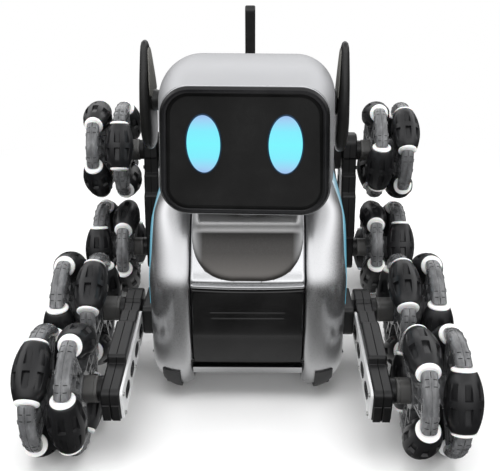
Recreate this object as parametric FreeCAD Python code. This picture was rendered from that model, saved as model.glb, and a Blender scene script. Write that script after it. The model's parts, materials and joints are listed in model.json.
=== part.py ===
import FreeCAD, Part
import math
import os
from FreeCAD import Vector as V, Matrix

os.makedirs("parts", exist_ok=True)

# Eight-wheeled robot dog on double-row omni wheels, in millimetres.
# Frame: +Z up, the face looks along -Y, +X is the robot's left-hand side seen from
# behind; the origin is on the floor under the middle of the overall box.

# ---- driving dimensions -------------------------------------------------------
WHEEL_R = 50.0            # rolling radius of every omni wheel
ROLLER_AXIS_R = 36.0      # distance from wheel axis to roller axis
ROLLER_HALF = 21.5        # half length of the barrel
ROW_OFFSET = 12.6         # each roller row sits this far from the wheel's mid plane
FORK_T = 12.5             # thickness of a roller fork
CAP_T = 2.8               # white end cap beyond the barrel
CAP_R = 8.7
STUB_R = 2.0              # moulded stub of an end cap
HUB_R = 14.0
SPIGOT_R = 9.5
JOURNAL_R = 4.0
RUN_CLEAR = 0.05          # radial running clearance in every bearing
GAP = 0.3                 # gap between different bodies

LEG_L = 105.0             # axle to axle along a leg
LEG_W = 14.5              # beam thickness across X
LEG_H = 27.0              # beam height
LEG_WALL = 2.0
HIP_JOURNAL_R = 8.0

# wheel axles in the Y-Z plane
FRONT_AXLE = (-137.0, 50.0)
MID_AXLE = (-32.55, 60.7)
REAR_AXLE = (121.5, 50.0)
UPPER_AXLE = (137.0, 153.85)

FRONT_BEAM_X = 99.6       # centre plane of the front leg beams
REAR_BEAM_X = 102.2       # centre plane of the rear leg beams
WHEEL_X = {"front": 141.0, "middle": 144.6, "rear": 142.6, "upper": 142.4}

# angle of the first outer-row roller, from -Y towards +Z, degrees
PHASE = {("front", -1): 53.0, ("front", 1): 23.9, ("middle", -1): -2.7, ("middle", 1): 2.4,
         ("rear", -1): 18.8, ("rear", 1): 28.0, ("upper", -1): -37.8, ("upper", 1): 48.8}

BODY_WALL = 2.6
BELLY_INSET = 5.0         # the belly lies this far inside the side shells
COLUMN_X = 45.0           # half width of the centre column between the side shells
DOOR_Z = (38.2, 107.6)
HINGE = (-84.0, 41.2)     # door hinge axis (Y, Z)
DOOR_OPEN = 80            # degrees
BELLY_RAKE = ((-100.0, 36.1), (-45.0, 12.6))   # the tray rises to the front lip along this line (Y, Z)

HEAD_PAN = -2.0           # the head is stored panned a little to one side, degrees
NECK_Y = -45.0            # pan axis
TILT_Z = 197.0            # tilt axis height
HEAD_FRONT = -97.0
EAR_PIVOT = (-20.0, 243.0)
EYE_X = 29.1
EYE_Z = 230.2
EYE_W, EYE_H = 24.4, 42.5

TAIL_PIVOT = (160.0, 202.0)
BUTTON = (0.0, 96.0)


# ---- helpers ------------------------------------------------------------------
def box(x0, x1, y0, y1, z0, z1):
    return Part.makeBox(x1 - x0, y1 - y0, z1 - z0, V(x0, y0, z0))


def cylx(x0, x1, y, z, r):
    return Part.makeCylinder(r, x1 - x0, V(x0, y, z), V(1, 0, 0))


def cyly(y0, y1, x, z, r):
    return Part.makeCylinder(r, y1 - y0, V(x, y0, z), V(0, 1, 0))


def cylz(z0, z1, x, y, r):
    return Part.makeCylinder(r, z1 - z0, V(x, y, z0), V(0, 0, 1))


def rounded_wire(pts, radii, place):
    """Closed polygon with rounded corners; place maps (a, b) to a 3-D point."""
    n = len(pts)
    if not isinstance(radii, (list, tuple)):
        radii = [radii] * n
    segs = []
    for i in range(n):
        p0, p1, p2 = pts[i - 1], pts[i], pts[(i + 1) % n]
        ax, ay = p0[0] - p1[0], p0[1] - p1[1]
        bx, by = p2[0] - p1[0], p2[1] - p1[1]
        la, lb = math.hypot(ax, ay), math.hypot(bx, by)
        ax, ay, bx, by = ax / la, ay / la, bx / lb, by / lb
        ang = math.acos(max(-1, min(1, ax * bx + ay * by)))
        r = radii[i]
        t = r / math.tan(ang / 2)
        a = (p1[0] + ax * t, p1[1] + ay * t)
        b = (p1[0] + bx * t, p1[1] + by * t)
        mx, my = ax + bx, ay + by
        ml = math.hypot(mx, my)
        d = r / math.sin(ang / 2) - r
        m = (p1[0] + mx / ml * d, p1[1] + my / ml * d)
        segs.append((a, m, b, r))
    edges = []
    for i in range(n):
        a, m, b, r = segs[i]
        if r > 0:
            edges.append(Part.Arc(place(*a), place(*m), place(*b)).toShape())
        na = segs[(i + 1) % n][0]
        if math.hypot(na[0] - b[0], na[1] - b[1]) > 1e-6:
            edges.append(Part.LineSegment(place(*b), place(*na)).toShape())
    return Part.Wire(edges)


def prism_x(pts, r, x0, x1):
    w = rounded_wire(pts, r, lambda a, b: V(x0, a, b))
    return Part.Face(w).extrude(V(x1 - x0, 0, 0))


def prism_y(pts, r, y0, y1):
    w = rounded_wire(pts, r, lambda a, b: V(a, y0, b))
    return Part.Face(w).extrude(V(0, y1 - y0, 0))


def prism_z(pts, r, z0, z1):
    w = rounded_wire(pts, r, lambda a, b: V(a, b, z0))
    return Part.Face(w).extrude(V(0, 0, z1 - z0))


def rect(a0, a1, b0, b1):
    return [(a0, b0), (a1, b0), (a1, b1), (a0, b1)]


def mirror_x(s):
    return s.mirror(V(0, 0, 0), V(1, 0, 0))


def moved(s, x=0, y=0, z=0):
    c = s.copy()
    c.translate(V(x, y, z))
    return c


def turned(s, centre, axis, deg):
    c = s.copy()
    c.rotate(V(*centre), V(*axis), deg)
    return c


def fillet(s, r, pick):
    """Round the edges that pick(edge) selects, or leave the solid as it is."""
    es = [e for e in s.Edges if pick(e)]
    if not es:
        return s
    try:
        f = s.makeFillet(r, es)
        if f.isValid() and f.Volume > 0:
            return f
    except Exception:
        pass
    return s


def one(s):
    """The largest solid of a boolean result."""
    sol = sorted(s.Solids, key=lambda q: -q.Volume)
    return sol[0]


NODES = {}


def put(name, solids):
    if not isinstance(solids, (list, tuple)):
        solids = [solids]
    out = []
    for s in solids:
        out += s.Solids
    NODES[name] = out


# ---- omni wheel, built about its own axis (X), local mid plane at x = 0 ----------
def barrel():
    """Barrel roller on the Z axis' tangent, lying along local Y at radius ROLLER_AXIS_R above 0."""
    h = ROLLER_HALF
    re = math.sqrt(WHEEL_R ** 2 - h ** 2) - ROLLER_AXIS_R
    rm = WHEEL_R - ROLLER_AXIS_R
    arc = Part.Arc(V(0, -h, ROLLER_AXIS_R + re), V(0, 0, ROLLER_AXIS_R + rm), V(0, h, ROLLER_AXIS_R + re)).toShape()
    b = STUB_R + RUN_CLEAR
    p = [V(0, h, ROLLER_AXIS_R + re), V(0, h, ROLLER_AXIS_R + b), V(0, -h, ROLLER_AXIS_R + b), V(0, -h, ROLLER_AXIS_R + re)]
    lines = [Part.LineSegment(p[i], p[i + 1]).toShape() for i in range(3)]
    face = Part.Face(Part.Wire([arc] + lines))
    return face.revolve(V(0, 0, ROLLER_AXIS_R), V(0, 1, 0), 360)


def end_cap(sign):
    """White nylon end cap with a moulded stub on both faces."""
    h = ROLLER_HALF
    y0 = h + 0.1
    y1 = h + CAP_T
    prof = [V(0, y0 - 6.5, ROLLER_AXIS_R), V(0, y0 - 6.5, ROLLER_AXIS_R + STUB_R), V(0, y0, ROLLER_AXIS_R + STUB_R),
            V(0, y0, ROLLER_AXIS_R + CAP_R), V(0, y0 + 0.8, ROLLER_AXIS_R + CAP_R), V(0, y1, ROLLER_AXIS_R + CAP_R - 1.4),
            V(0, y1, ROLLER_AXIS_R + STUB_R), V(0, y1 + 5.0, ROLLER_AXIS_R + STUB_R), V(0, y1 + 5.0, ROLLER_AXIS_R),
            V(0, y0 - 6.5, ROLLER_AXIS_R)]
    face = Part.Face(Part.makePolygon(prof))
    s = face.revolve(V(0, 0, ROLLER_AXIS_R), V(0, 1, 0), 360)
    if sign < 0:
        s = s.mirror(V(0, 0, 0), V(0, 1, 0))
    return s


def spider(x_in, x_out):
    """One moulded half of the wheel: three forks on a hub, first roller gap straight up (+Z)."""
    xc = (x_in + x_out) / 2
    R = WHEEL_R - 0.8
    disc = Part.makeCylinder(R, FORK_T, V(xc - FORK_T / 2, 0, 0), V(1, 0, 0))
    disc = fillet(disc, 4.0, lambda e: e.Curve.TypeId == "Part::GeomCircle")
    tool = None
    half = ROLLER_HALF + CAP_T + 0.1
    for k in range(3):
        b = box(xc - 20, xc + 20, -half, half, ROLLER_AXIS_R - 17.0, WHEEL_R + 5)
        b = turned(b, (0, 0, 0), (1, 0, 0), 120 * k)
        tool = b if tool is None else tool.fuse(b)
    s = disc.cut(tool)
    # lightening pocket round the hub, from both faces
    for x0, x1 in ((xc - FORK_T, xc - 3.0), (xc + 3.0, xc + FORK_T)):
        ring = cylx(x0, x1, 0, 0, 30.0).cut(cylx(x0 - 1, x1 + 1, 0, 0, HUB_R))
        s = s.cut(ring)
    for k in range(3):
        for sg in (-1, 1):
            y0 = sg * (half - 0.1)
            bore = cyly(min(y0, y0 + sg * 5.4), max(y0, y0 + sg * 5.4), xc, ROLLER_AXIS_R, STUB_R + 0.02)
            s = s.cut(turned(bore, (0, 0, 0), (1, 0, 0), 120 * k))
    return one(s)


_barrel, _cap_a, _cap_b = barrel(), end_cap(1), end_cap(-1)


def wheel(side, name, beam_x):
    """Nodes of one wheel; the wheel's own frame has +X pointing away from the robot."""
    mid = WHEEL_X[name]
    y, z = {"front": FRONT_AXLE, "middle": MID_AXLE, "rear": REAR_AXLE, "upper": UPPER_AXLE}[name]
    ph = PHASE[(name, side)]
    o, i = ROW_OFFSET, -ROW_OFFSET
    # outer half, with a plain hub face; inner half, with spigot and journal
    outer = spider(o - FORK_T / 2, o + FORK_T / 2)
    outer = outer.fuse(cylx(0, o + FORK_T / 2 + 1.5, 0, 0, HUB_R)).removeSplitter()
    inner = turned(spider(i - FORK_T / 2, i + FORK_T / 2), (0, 0, 0), (1, 0, 0), 60)
    beam_face = beam_x + LEG_W / 2
    x_sp0 = beam_face + 4.5 + GAP - mid
    inner = inner.fuse(cylx(i - FORK_T / 2, 0, 0, 0, HUB_R))
    inner = inner.fuse(cylx(x_sp0, i, 0, 0, SPIGOT_R))
    inner = inner.fuse(cylx(beam_x + LEG_W / 2 - LEG_WALL - 1.0 - mid, i, 0, 0, JOURNAL_R)).removeSplitter()
    rollers, caps = [], []
    for row, off in ((o, 0), (i, 60)):
        for k in range(3):
            for lst, s in ((rollers, _barrel), (caps, _cap_a), (caps, _cap_b)):
                lst.append(turned(moved(s, x=row), (0, 0, 0), (1, 0, 0), off + 120 * k))

    def place(s):
        # local +Z is angle 90 from -Y towards +Z: turning by (90 - phase) about +X brings it to the phase
        c = turned(s, (0, 0, 0), (1, 0, 0), 90 - ph)
        c = moved(c, x=mid, y=y, z=z)
        return mirror_x(c) if side < 0 else c

    lr = "right" if side > 0 else "left"
    base = "wheel_%s_%s" % (name, lr)
    put(base + "_frame", [place(one(outer)), place(one(inner))])
    put(base + "_rollers", [place(s) for s in rollers])
    put(base + "_end_caps", [place(s) for s in caps])


# ---- leg, built in its own frame: u along the leg (wheel at 0, hip at LEG_L), w across it ----
def leg(side, which):
    if which == "front":
        a, b, bx = FRONT_AXLE, MID_AXLE, FRONT_BEAM_X
    else:
        a, b, bx = REAR_AXLE, UPPER_AXLE, REAR_BEAM_X
    ang = math.degrees(math.atan2(b[1] - a[1], b[0] - a[0]))
    hw, hh = LEG_W / 2, LEG_H / 2
    L = LEG_L
    # local frame: x across (0 = centre plane, + outwards), y = u, z = w
    prof = [(-20.5, -hh - 0.5), (-20.5, hh + 0.5), (13, hh + 0.5), (15, hh + 6.5), (60, hh + 6.5), (63, hh + 2.5), (80, hh + 2.5),
            (83, hh - 1.5), (97, hh - 1.5), (99, hh + 1.0), (L + 18, hh + 1.0), (L + 18, -hh - 1.0), (99, -hh - 1.0), (97, -hh + 1.5),
            (20, -hh + 1.5), (17, -hh - 0.5)]
    rad = [5, 5, 0.6, 3, 3, 0.8, 0.8, 0.6, 0.6, 0.6, 11, 11, 0.6, 0.6, 0.6, 0.6]
    outer = prism_x(prof, rad, -hw, hw)
    outer = fillet(outer, 1.6, lambda e: abs(abs(e.CenterOfMass.x) - hw) < 1e-3 and e.Length > 6.5)
    wl = LEG_WALL
    cav = [(-20.5 + wl, -hh + 2.2), (-20.5 + wl, hh - 2.0), (L + 18 - wl, hh - 2.0 - 1.5), (L + 18 - wl, -hh + 3.2)]
    cavity = prism_x(cav, [3, 3, 9, 9], -hw + wl, hw - wl)
    cover_cav = prism_x(rect(18, 57, hh - 3, hh + 4.5), 2, -hw + wl, hw - wl)
    shell = outer.cut(cavity.fuse(cover_cav))
    # seam groove round the joint of the two halves
    out_half = shell.common(box(0.15, hw + 1, -40, L + 40, -60, 60))
    in_half = shell.common(box(-hw - 1, 0.15, -40, L + 40, -60, 60))
    # axle bosses on the outer face, with running bores for the wheel journals
    for u in (0, L):
        out_half = out_half.fuse(cylx(hw - 0.5, hw + 4.5, u, 0, 10.0))
        out_half = out_half.cut(cylx(hw - wl - 2, hw + 6, u, 0, JOURNAL_R + RUN_CLEAR))
    # hip journal on the inner face
    in_half = in_half.fuse(cylx(-hw - 12.0, -hw + 0.5, L, 0, HIP_JOURNAL_R))
    in_half = in_half.cut(cylx(-hw - 13, -hw + 3, L, 0, 4.5))
    # slotted side plate on the inner face
    pl = prism_x([(-19.5, -hh + 0.5), (-19.5, hh - 0.5), (88, hh - 2.5), (88, -hh + 2.5)], [4, 4, 4, 4], -hw - 2.0, -hw)
    for u0, u1 in ((-8, 8), (16, 31), (40, 55), (64, 79)):
        pl = pl.cut(prism_x(rect(u0, u1, -4.2, 4.2), 4.0, -hw - 3, -hw + 1))
    pl = fillet(pl, 0.5, lambda e: abs(e.CenterOfMass.x + hw + 2.0) < 1e-3)
    # geared motors inside: motor can plus gear head at each axle
    motors = []
    for u, d in ((0, 1), (L, -1)):
        head = box(-4.9, 3.0, min(u - 6 * d, u + 12 * d), max(u - 6 * d, u + 12 * d), -6, 6)
        can = Part.makeCylinder(4.8, 24, V(-0.2, u + 12 * d, 0), V(0, d, 0))
        m = head.fuse(can).removeSplitter()
        motors.append(m)

    def place(s):
        c = turned(s, (0, 0, 0), (1, 0, 0), ang)
        c = moved(c, x=bx, y=a[0], z=a[1])
        return mirror_x(c) if side < 0 else c

    lr = "right" if side > 0 else "left"
    base = "leg_%s_%s" % (which, lr)
    put(base + "_case", [place(one(out_half)), place(one(in_half))])
    put(base + "_side_plate", [place(one(pl))])
    put(base + "_gearmotors", [place(m) for m in motors])


# ---- torso skin -----------------------------------------------------------------
# station: (y, half width at bottom, at the middle, at top, bottom z, middle z, top z, top radius, bottom radius)
STATIONS = [
    (-88.0, 59, 61, 55, 40, 74, 107, 9, 10),
    (-86.6, 64, 66, 60, 29, 75, 113, 13, 14),
    (-82.0, 70, 72.5, 66, 18.5, 78, 121, 18, 18),
    (-76.0, 73.5, 76, 69.5, 12.8, 82, 131, 22, 21),
    (-66.0, 76, 78.5, 72.5, 8.6, 88, 146.5, 25, 23),
    (-55.0, 77, 79.5, 74.5, 7.2, 93, 159, 28, 24),
    (-40.0, 77.5, 80, 76, 7.2, 96, 168, 29, 24),
    (-10.0, 78, 80.5, 77, 10.5, 98, 172, 30, 24),
    (35.0, 78, 80.5, 78, 34, 112, 178, 28, 24),
    (75.0, 78, 80.5, 78, 61, 128, 190, 28, 24),
    (115.0, 77, 79.5, 77, 88, 144, 197, 28, 24),
    (148.0, 72, 74.5, 72, 110, 152, 193, 26, 24),
    (166.0, 61, 63.5, 61, 124, 154, 184, 22, 20),
    (173.0, 48, 50.0, 48, 134, 156, 176, 16, 14),
]
STATION_Y = [-88.0, -87.4, -86.6, -84.6, -82, -79, -76, -71, -66, -60, -54, -47, -40, -28, -14, 0, 14, 28, 42, 56, 70, 84, 98, 112, 126, 138, 148,
             157, 164, 169, 173]


def eased(xs, vs, x):
    """Monotone cubic through the values vs at xs."""
    n = len(xs)
    d = [(vs[i + 1] - vs[i]) / (xs[i + 1] - xs[i]) for i in range(n - 1)]
    m = [d[0]] + [0.0 if d[i - 1] * d[i] <= 0 else 2 * d[i - 1] * d[i] / (d[i - 1] + d[i]) for i in range(1, n - 1)] + [d[-1]]
    i = 0
    while i < n - 2 and x > xs[i + 1]:
        i += 1
    h = xs[i + 1] - xs[i]
    t = (x - xs[i]) / h
    return ((2 * t ** 3 - 3 * t * t + 1) * vs[i] + (t ** 3 - 2 * t * t + t) * h * m[i]
            + (-2 * t ** 3 + 3 * t * t) * vs[i + 1] + (t ** 3 - t * t) * h * m[i + 1])


def torso_loft(inset):
    wires = []
    cols = list(zip(*STATIONS))
    dense = [tuple([y] + [eased(cols[0], c, y) for c in cols[1:]]) for y in STATION_Y]
    n = len(dense)
    for i, (y, hb, hm, ht, z0, zm, z1, rt, rb) in enumerate(dense):
        if i == 0:
            y += inset
        if i == n - 1:
            y -= inset
        hb, hm, ht, z0, z1, rt, rb = hb - inset, hm - inset, ht - inset, z0 + inset, z1 - inset, rt - inset, rb - inset
        pts = [(-hb, z0), (hb, z0), (hm, zm), (ht, z1), (-ht, z1), (-hm, zm)]
        wires.append(rounded_wire(pts, [rb, rb, 20, rt, rt, 20], lambda a, b, y=y: V(a, y, b)))
    return Part.makeLoft(wires, True, False)


def torso():
    skin_out = torso_loft(0.0)
    skin_in = torso_loft(BODY_WALL)
    wall = skin_out.cut(skin_in)
    side = wall.common(box(COLUMN_X + 0.4, 100, -130, 220, 0, 260))
    # light strip channel: a band that sweeps from the shoulder down to the front foot
    band_pts = [(112, 183), (60, 177.5), (12, 165), (-28, 152), (-49, 130), (-58, 98), (-63, 66), (-57, 66), (-49, 97), (-40, 125), (-20, 144), (16, 157), (62, 170.5), (112, 176.5)]
    band = prism_x(band_pts, [0, 30, 30, 16, 20, 30, 0, 0, 30, 20, 16, 30, 30, 0], 60, 100)
    strip = band.common(moved(skin_out, x=0.7)).cut(moved(skin_out, x=-1.4)).common(box(60, 100, -130, 220, 0, 260))
    strip = one(strip)
    side = side.cut(strip)
    # hip bores and door pin sockets
    for (y, z) in (MID_AXLE, UPPER_AXLE):
        side = side.cut(cylx(60, 100, y, z, 13.0))
    side = side.cut(cylx(COLUMN_X - 2, COLUMN_X + 3.4, HINGE[0], HINGE[1], 2.06))
    side = one(side)
    # pin socket boss behind the skin
    boss = cylx(COLUMN_X + 0.4, COLUMN_X + 5.0, HINGE[0], HINGE[1], 5.0).cut(cylx(COLUMN_X - 2, COLUMN_X + 3.4, HINGE[0], HINGE[1], 2.06))
    boss = boss.common(skin_out)
    side = one(side.fuse(boss))
    put("torso_shell_right", side)
    put("torso_shell_left", mirror_x(side))
    put("side_light_strips", [strip, mirror_x(strip)])

    centre = wall.common(box(-COLUMN_X, COLUMN_X, -130, 220, 0, 260))
    # door
    door = centre.common(box(-COLUMN_X + 0.4, COLUMN_X - 0.4, -95, -79.5, DOOR_Z[0], DOOR_Z[1]))
    door = one(door)
    for z in (83.2, 88.3):
        door = door.cut(prism_y([(-31, z - 0.7), (31, z - 0.7), (31, z + 0.7), (-31, z + 0.7)], 0.6, -95, -86.3))
    door = door.fuse(cylx(-COLUMN_X - 2.6, COLUMN_X + 2.6, HINGE[0], HINGE[1], 2.0))
    door = door.fuse(box(-COLUMN_X + 3, COLUMN_X - 3, -86.0, HINGE[0] - 0.5, DOOR_Z[0] + 0.3, HINGE[1] + 1.5)).removeSplitter()
    door = one(door)
    put("front_door", door)
    # front lip and raked belly tray, cleared for the swing of the door's lower edge
    (ya, za), (yb, zb) = BELLY_RAKE
    above = prism_x([(ya, za), (yb, zb), (yb, -5), (220, -5), (220, 200), (ya, 200)], 0.0, -60, 60)
    rise = BODY_WALL * 1.09
    above_in = prism_x([(ya, za + rise), (yb + 6, zb + rise - 6 * 0.427), (yb + 6, -5), (220, -5), (220, 200), (ya, 200)], 0.0, -60, 60)
    lower = torso_loft(BELLY_INSET).common(above).cut(torso_loft(BELLY_INSET + BODY_WALL).common(above_in)).common(box(-COLUMN_X, COLUMN_X, -130, 220, 0, 260))
    lower = lower.cut(box(-60, 60, -95, -70, DOOR_Z[0] - 0.5, 200))
    belly = lower.common(prism_x([(-100, 0), (200, 0), (200, 150), (100, 150), (-20, 100), (-69, 60), (-69, DOOR_Z[0] - 0.5), (-100, DOOR_Z[0] - 0.5)], 0.0, -60, 60))
    sweep = prism_x([(-89.0, 37.8), (-81.7, 37.8), (-81.7, 44.0), (-85.4, 44.0), (-85.4, 108.0), (-89.0, 108.0)], 0.0, -COLUMN_X - 1, COLUMN_X + 1)
    for deg in range(0, DOOR_OPEN + 3, 4):
        belly = belly.cut(turned(sweep, (0, HINGE[0], HINGE[1]), (1, 0, 0), deg))
    put("belly_pan", one(belly))
    # back: top and rear wall of the centre strip, from the neck to the tail
    back = centre.common(prism_x([(-40, 150), (-20, 100.3), (100, 150.3), (200, 150.3), (200, 260), (-40, 260)], 0.0, -60, 60))
    back = back.cut(box(-60, 60, 100, 200, 0, 150.3)).cut(cylz(150, 220, 0, NECK_Y, 16.5))
    back = one(back)
    bx, by = BUTTON
    back = back.cut(cylz(150, 220, bx, by, 7.0 + 0.25))
    back = one(back)
    # chest frame: front wall above the door and the deck under the neck
    frame = centre.common(box(-COLUMN_X, COLUMN_X, -95, -40.3, DOOR_Z[1] + 0.5, 200))
    frame = one(frame.cut(cylz(150, 220, 0, NECK_Y, 16.5)))
    put("chest_frame", frame)
    # chest bib: raised U-shaped panel on the front wall
    u = [(-21.0, 116.4), (21.0, 116.4), (42.3, 144.0), (42.3, 175), (-42.3, 175), (-42.3, 144.0)]
    shape = prism_y(u, [20, 20, 18, 3, 3, 18], -100, -40)
    side = prism_x([(-89.6, 112), (-84.5, 147), (-79.5, 153.5), (-49, 164.8), (-49, 140), (-70, 112)], [3, 10, 6, 3, 3, 3], -60, 60)
    bib = one(shape.common(side).cut(skin_out).cut(cylz(100, 220, 0, NECK_Y, 17.0)))
    put("chest_bib", bib)
    # power button in the back, with the guide it slides in
    top = back.common(cylz(150, 220, bx, by, 14)).BoundBox.ZMax
    ledge = cylz(top - 9, top - 1.5, bx, by, 10.5).cut(cylz(top - 12, top + 3, bx, by, 7.25))
    back = one(back.fuse(ledge).removeSplitter())
    put("back_shell", back)
    cap = cylz(top - 6, top + 1.4, bx, by, 7.0)
    cap = fillet(cap, 0.8, lambda e: e.CenterOfMass.z > top + 1)
    put("power_button", one(cap))
    return skin_out, skin_in, back


def foot_pads(skin_out):
    pads = []
    reg = prism_z(rect(56.0, 71.0, -92, -52), 3.0, 5.6, 32)
    off = moved(skin_out, y=-0.9, z=-2.6)
    foot = prism_z(rect(56.0, 71.0, -64, -44), 3.0, 5.6, 22)
    p = one(reg.common(off).fuse(foot).cut(skin_out).removeSplitter())
    pads = [p, mirror_x(p)]
    put("foot_pads", pads)


def chassis(skin_in):
    """Inner carrier: two side frames, a floor tray, cross walls and the neck deck."""
    prof = [(-76, 34), (-58, 20), (-2, 20), (60, 62), (120, 100), (158, 128), (158, 172), (118, 186), (62, 176), (28, 164), (-42, 160), (-76, 106)]
    outer = prism_x(prof, 6, -50, 50)
    inner = prism_x([(-71, 37), (-56, 25), (-4, 25), (57, 67), (117, 105), (152, 132), (152, 168), (116, 181), (62, 171), (30, 159), (-39, 155), (-71, 104)], 4, -60, 60)
    side_cut = prism_x([(-64, 40), (-52, 32), (-8, 32), (48, 72), (100, 108), (110, 170), (62, 162), (34, 152), (-36, 148), (-64, 102)], 6, -60, 60)
    rib_l = outer.common(box(-50, -46.5, -130, 220, 0, 260)).cut(side_cut)
    rib_r = outer.common(box(46.5, 50, -130, 220, 0, 260)).cut(side_cut)
    ring = outer.cut(inner).common(box(-50, 50, -130, 220, 0, 260))
    # the loop is closed at the bottom and the top and open at the front and on the slope behind the battery
    ring = ring.cut(box(-44, 44, -80, -41, 34, 158.5)).cut(box(-40, 40, 0, 110, 18, 110))
    s = ring.fuse(rib_l).fuse(rib_r)
    # battery shelf and hip cross tubes
    s = s.fuse(box(-48, 48, -64, 8, 84, 88)).fuse(box(-48, 48, 8, 11, 40, 88)).fuse(box(-48, 48, 16, 20, 52, 160))
    for (y, z) in (MID_AXLE, UPPER_AXLE):
        tube = cylx(-69.5, 69.5, y, z, 12.0).cut(cylx(-78, 78, y, z, 9.5))
        s = s.fuse(tube)
    # neck bearing
    s = s.fuse(cylz(146, 175.0, 0, NECK_Y, 16.5))
    s = s.cut(cylz(140, 180, 0, NECK_Y, 12.0 + RUN_CLEAR))
    s = s.removeSplitter()
    return one(s)


def hip_drives(skin_out):
    for nm, (y, z), bx, dims in (("front_hip_drives", MID_AXLE, FRONT_BEAM_X, (-22, 20, -14, 12)), ("rear_hip_drives", UPPER_AXLE, REAR_BEAM_X, (-20, 20, -15, 15))):
        x1 = bx - LEG_W / 2 - 2.0 - GAP
        b = prism_x(rect(y + dims[0], y + dims[1], z + dims[2], z + dims[3]), 4, 60.0, x1)
        b = fillet(b, 1.2, lambda e: abs(e.CenterOfMass.x - x1) < 1e-3)
        b = one(b.cut(skin_out))
        b = b.fuse(cylx(70.0, x1 - 4.0, y, z, 12.0))
        b = b.cut(cylx(60, 100, y, z, HIP_JOURNAL_R + RUN_CLEAR))
        yield nm, one(b)


# ---- head, built straight and then panned about the neck axis --------------------
HEAD_STATIONS = [
    # y, half width at bottom, at top, z0, z1, radius
    (-95.5, 61.8, 59.2, 178.0, 271.5, 20),
    (-90.0, 63.2, 60.4, 177.2, 273.2, 21),
    (-72.0, 66.0, 63.4, 177.6, 278.2, 23),
    (-45.0, 67.2, 64.6, 178.4, 281.2, 25),
    (-20.0, 65.6, 63.2, 181.0, 280.2, 27),
    (0.0, 60.6, 58.6, 187.0, 274.0, 27),
    (11.0, 52.0, 50.4, 196.0, 264.0, 24),
    (15.0, 42.0, 41.0, 206.0, 254.0, 18),
]


def head_loft(inset, y_first=None):
    wires = []
    n = len(HEAD_STATIONS)
    for i, (y, hb, ht, z0, z1, r) in enumerate(HEAD_STATIONS):
        if i == 0 and y_first is not None:
            y = y_first
        if i == n - 1:
            y -= inset
        pts = [(-hb + inset, z0 + inset), (hb - inset, z0 + inset), (ht - inset, z1 - inset), (-ht + inset, z1 - inset)]
        wires.append(rounded_wire(pts, r - inset, lambda a, b, y=y: V(a, y, b)))
    return Part.makeLoft(wires, True, False)


def face_outline(inset):
    hb, ht, z0, z1, r = 61.4, 58.8, 177.2, 271.0, 20.5
    return ([(-hb + inset, z0 + inset), (hb - inset, z0 + inset), (ht - inset, z1 - inset), (-ht + inset, z1 - inset)], r - inset)


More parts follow.
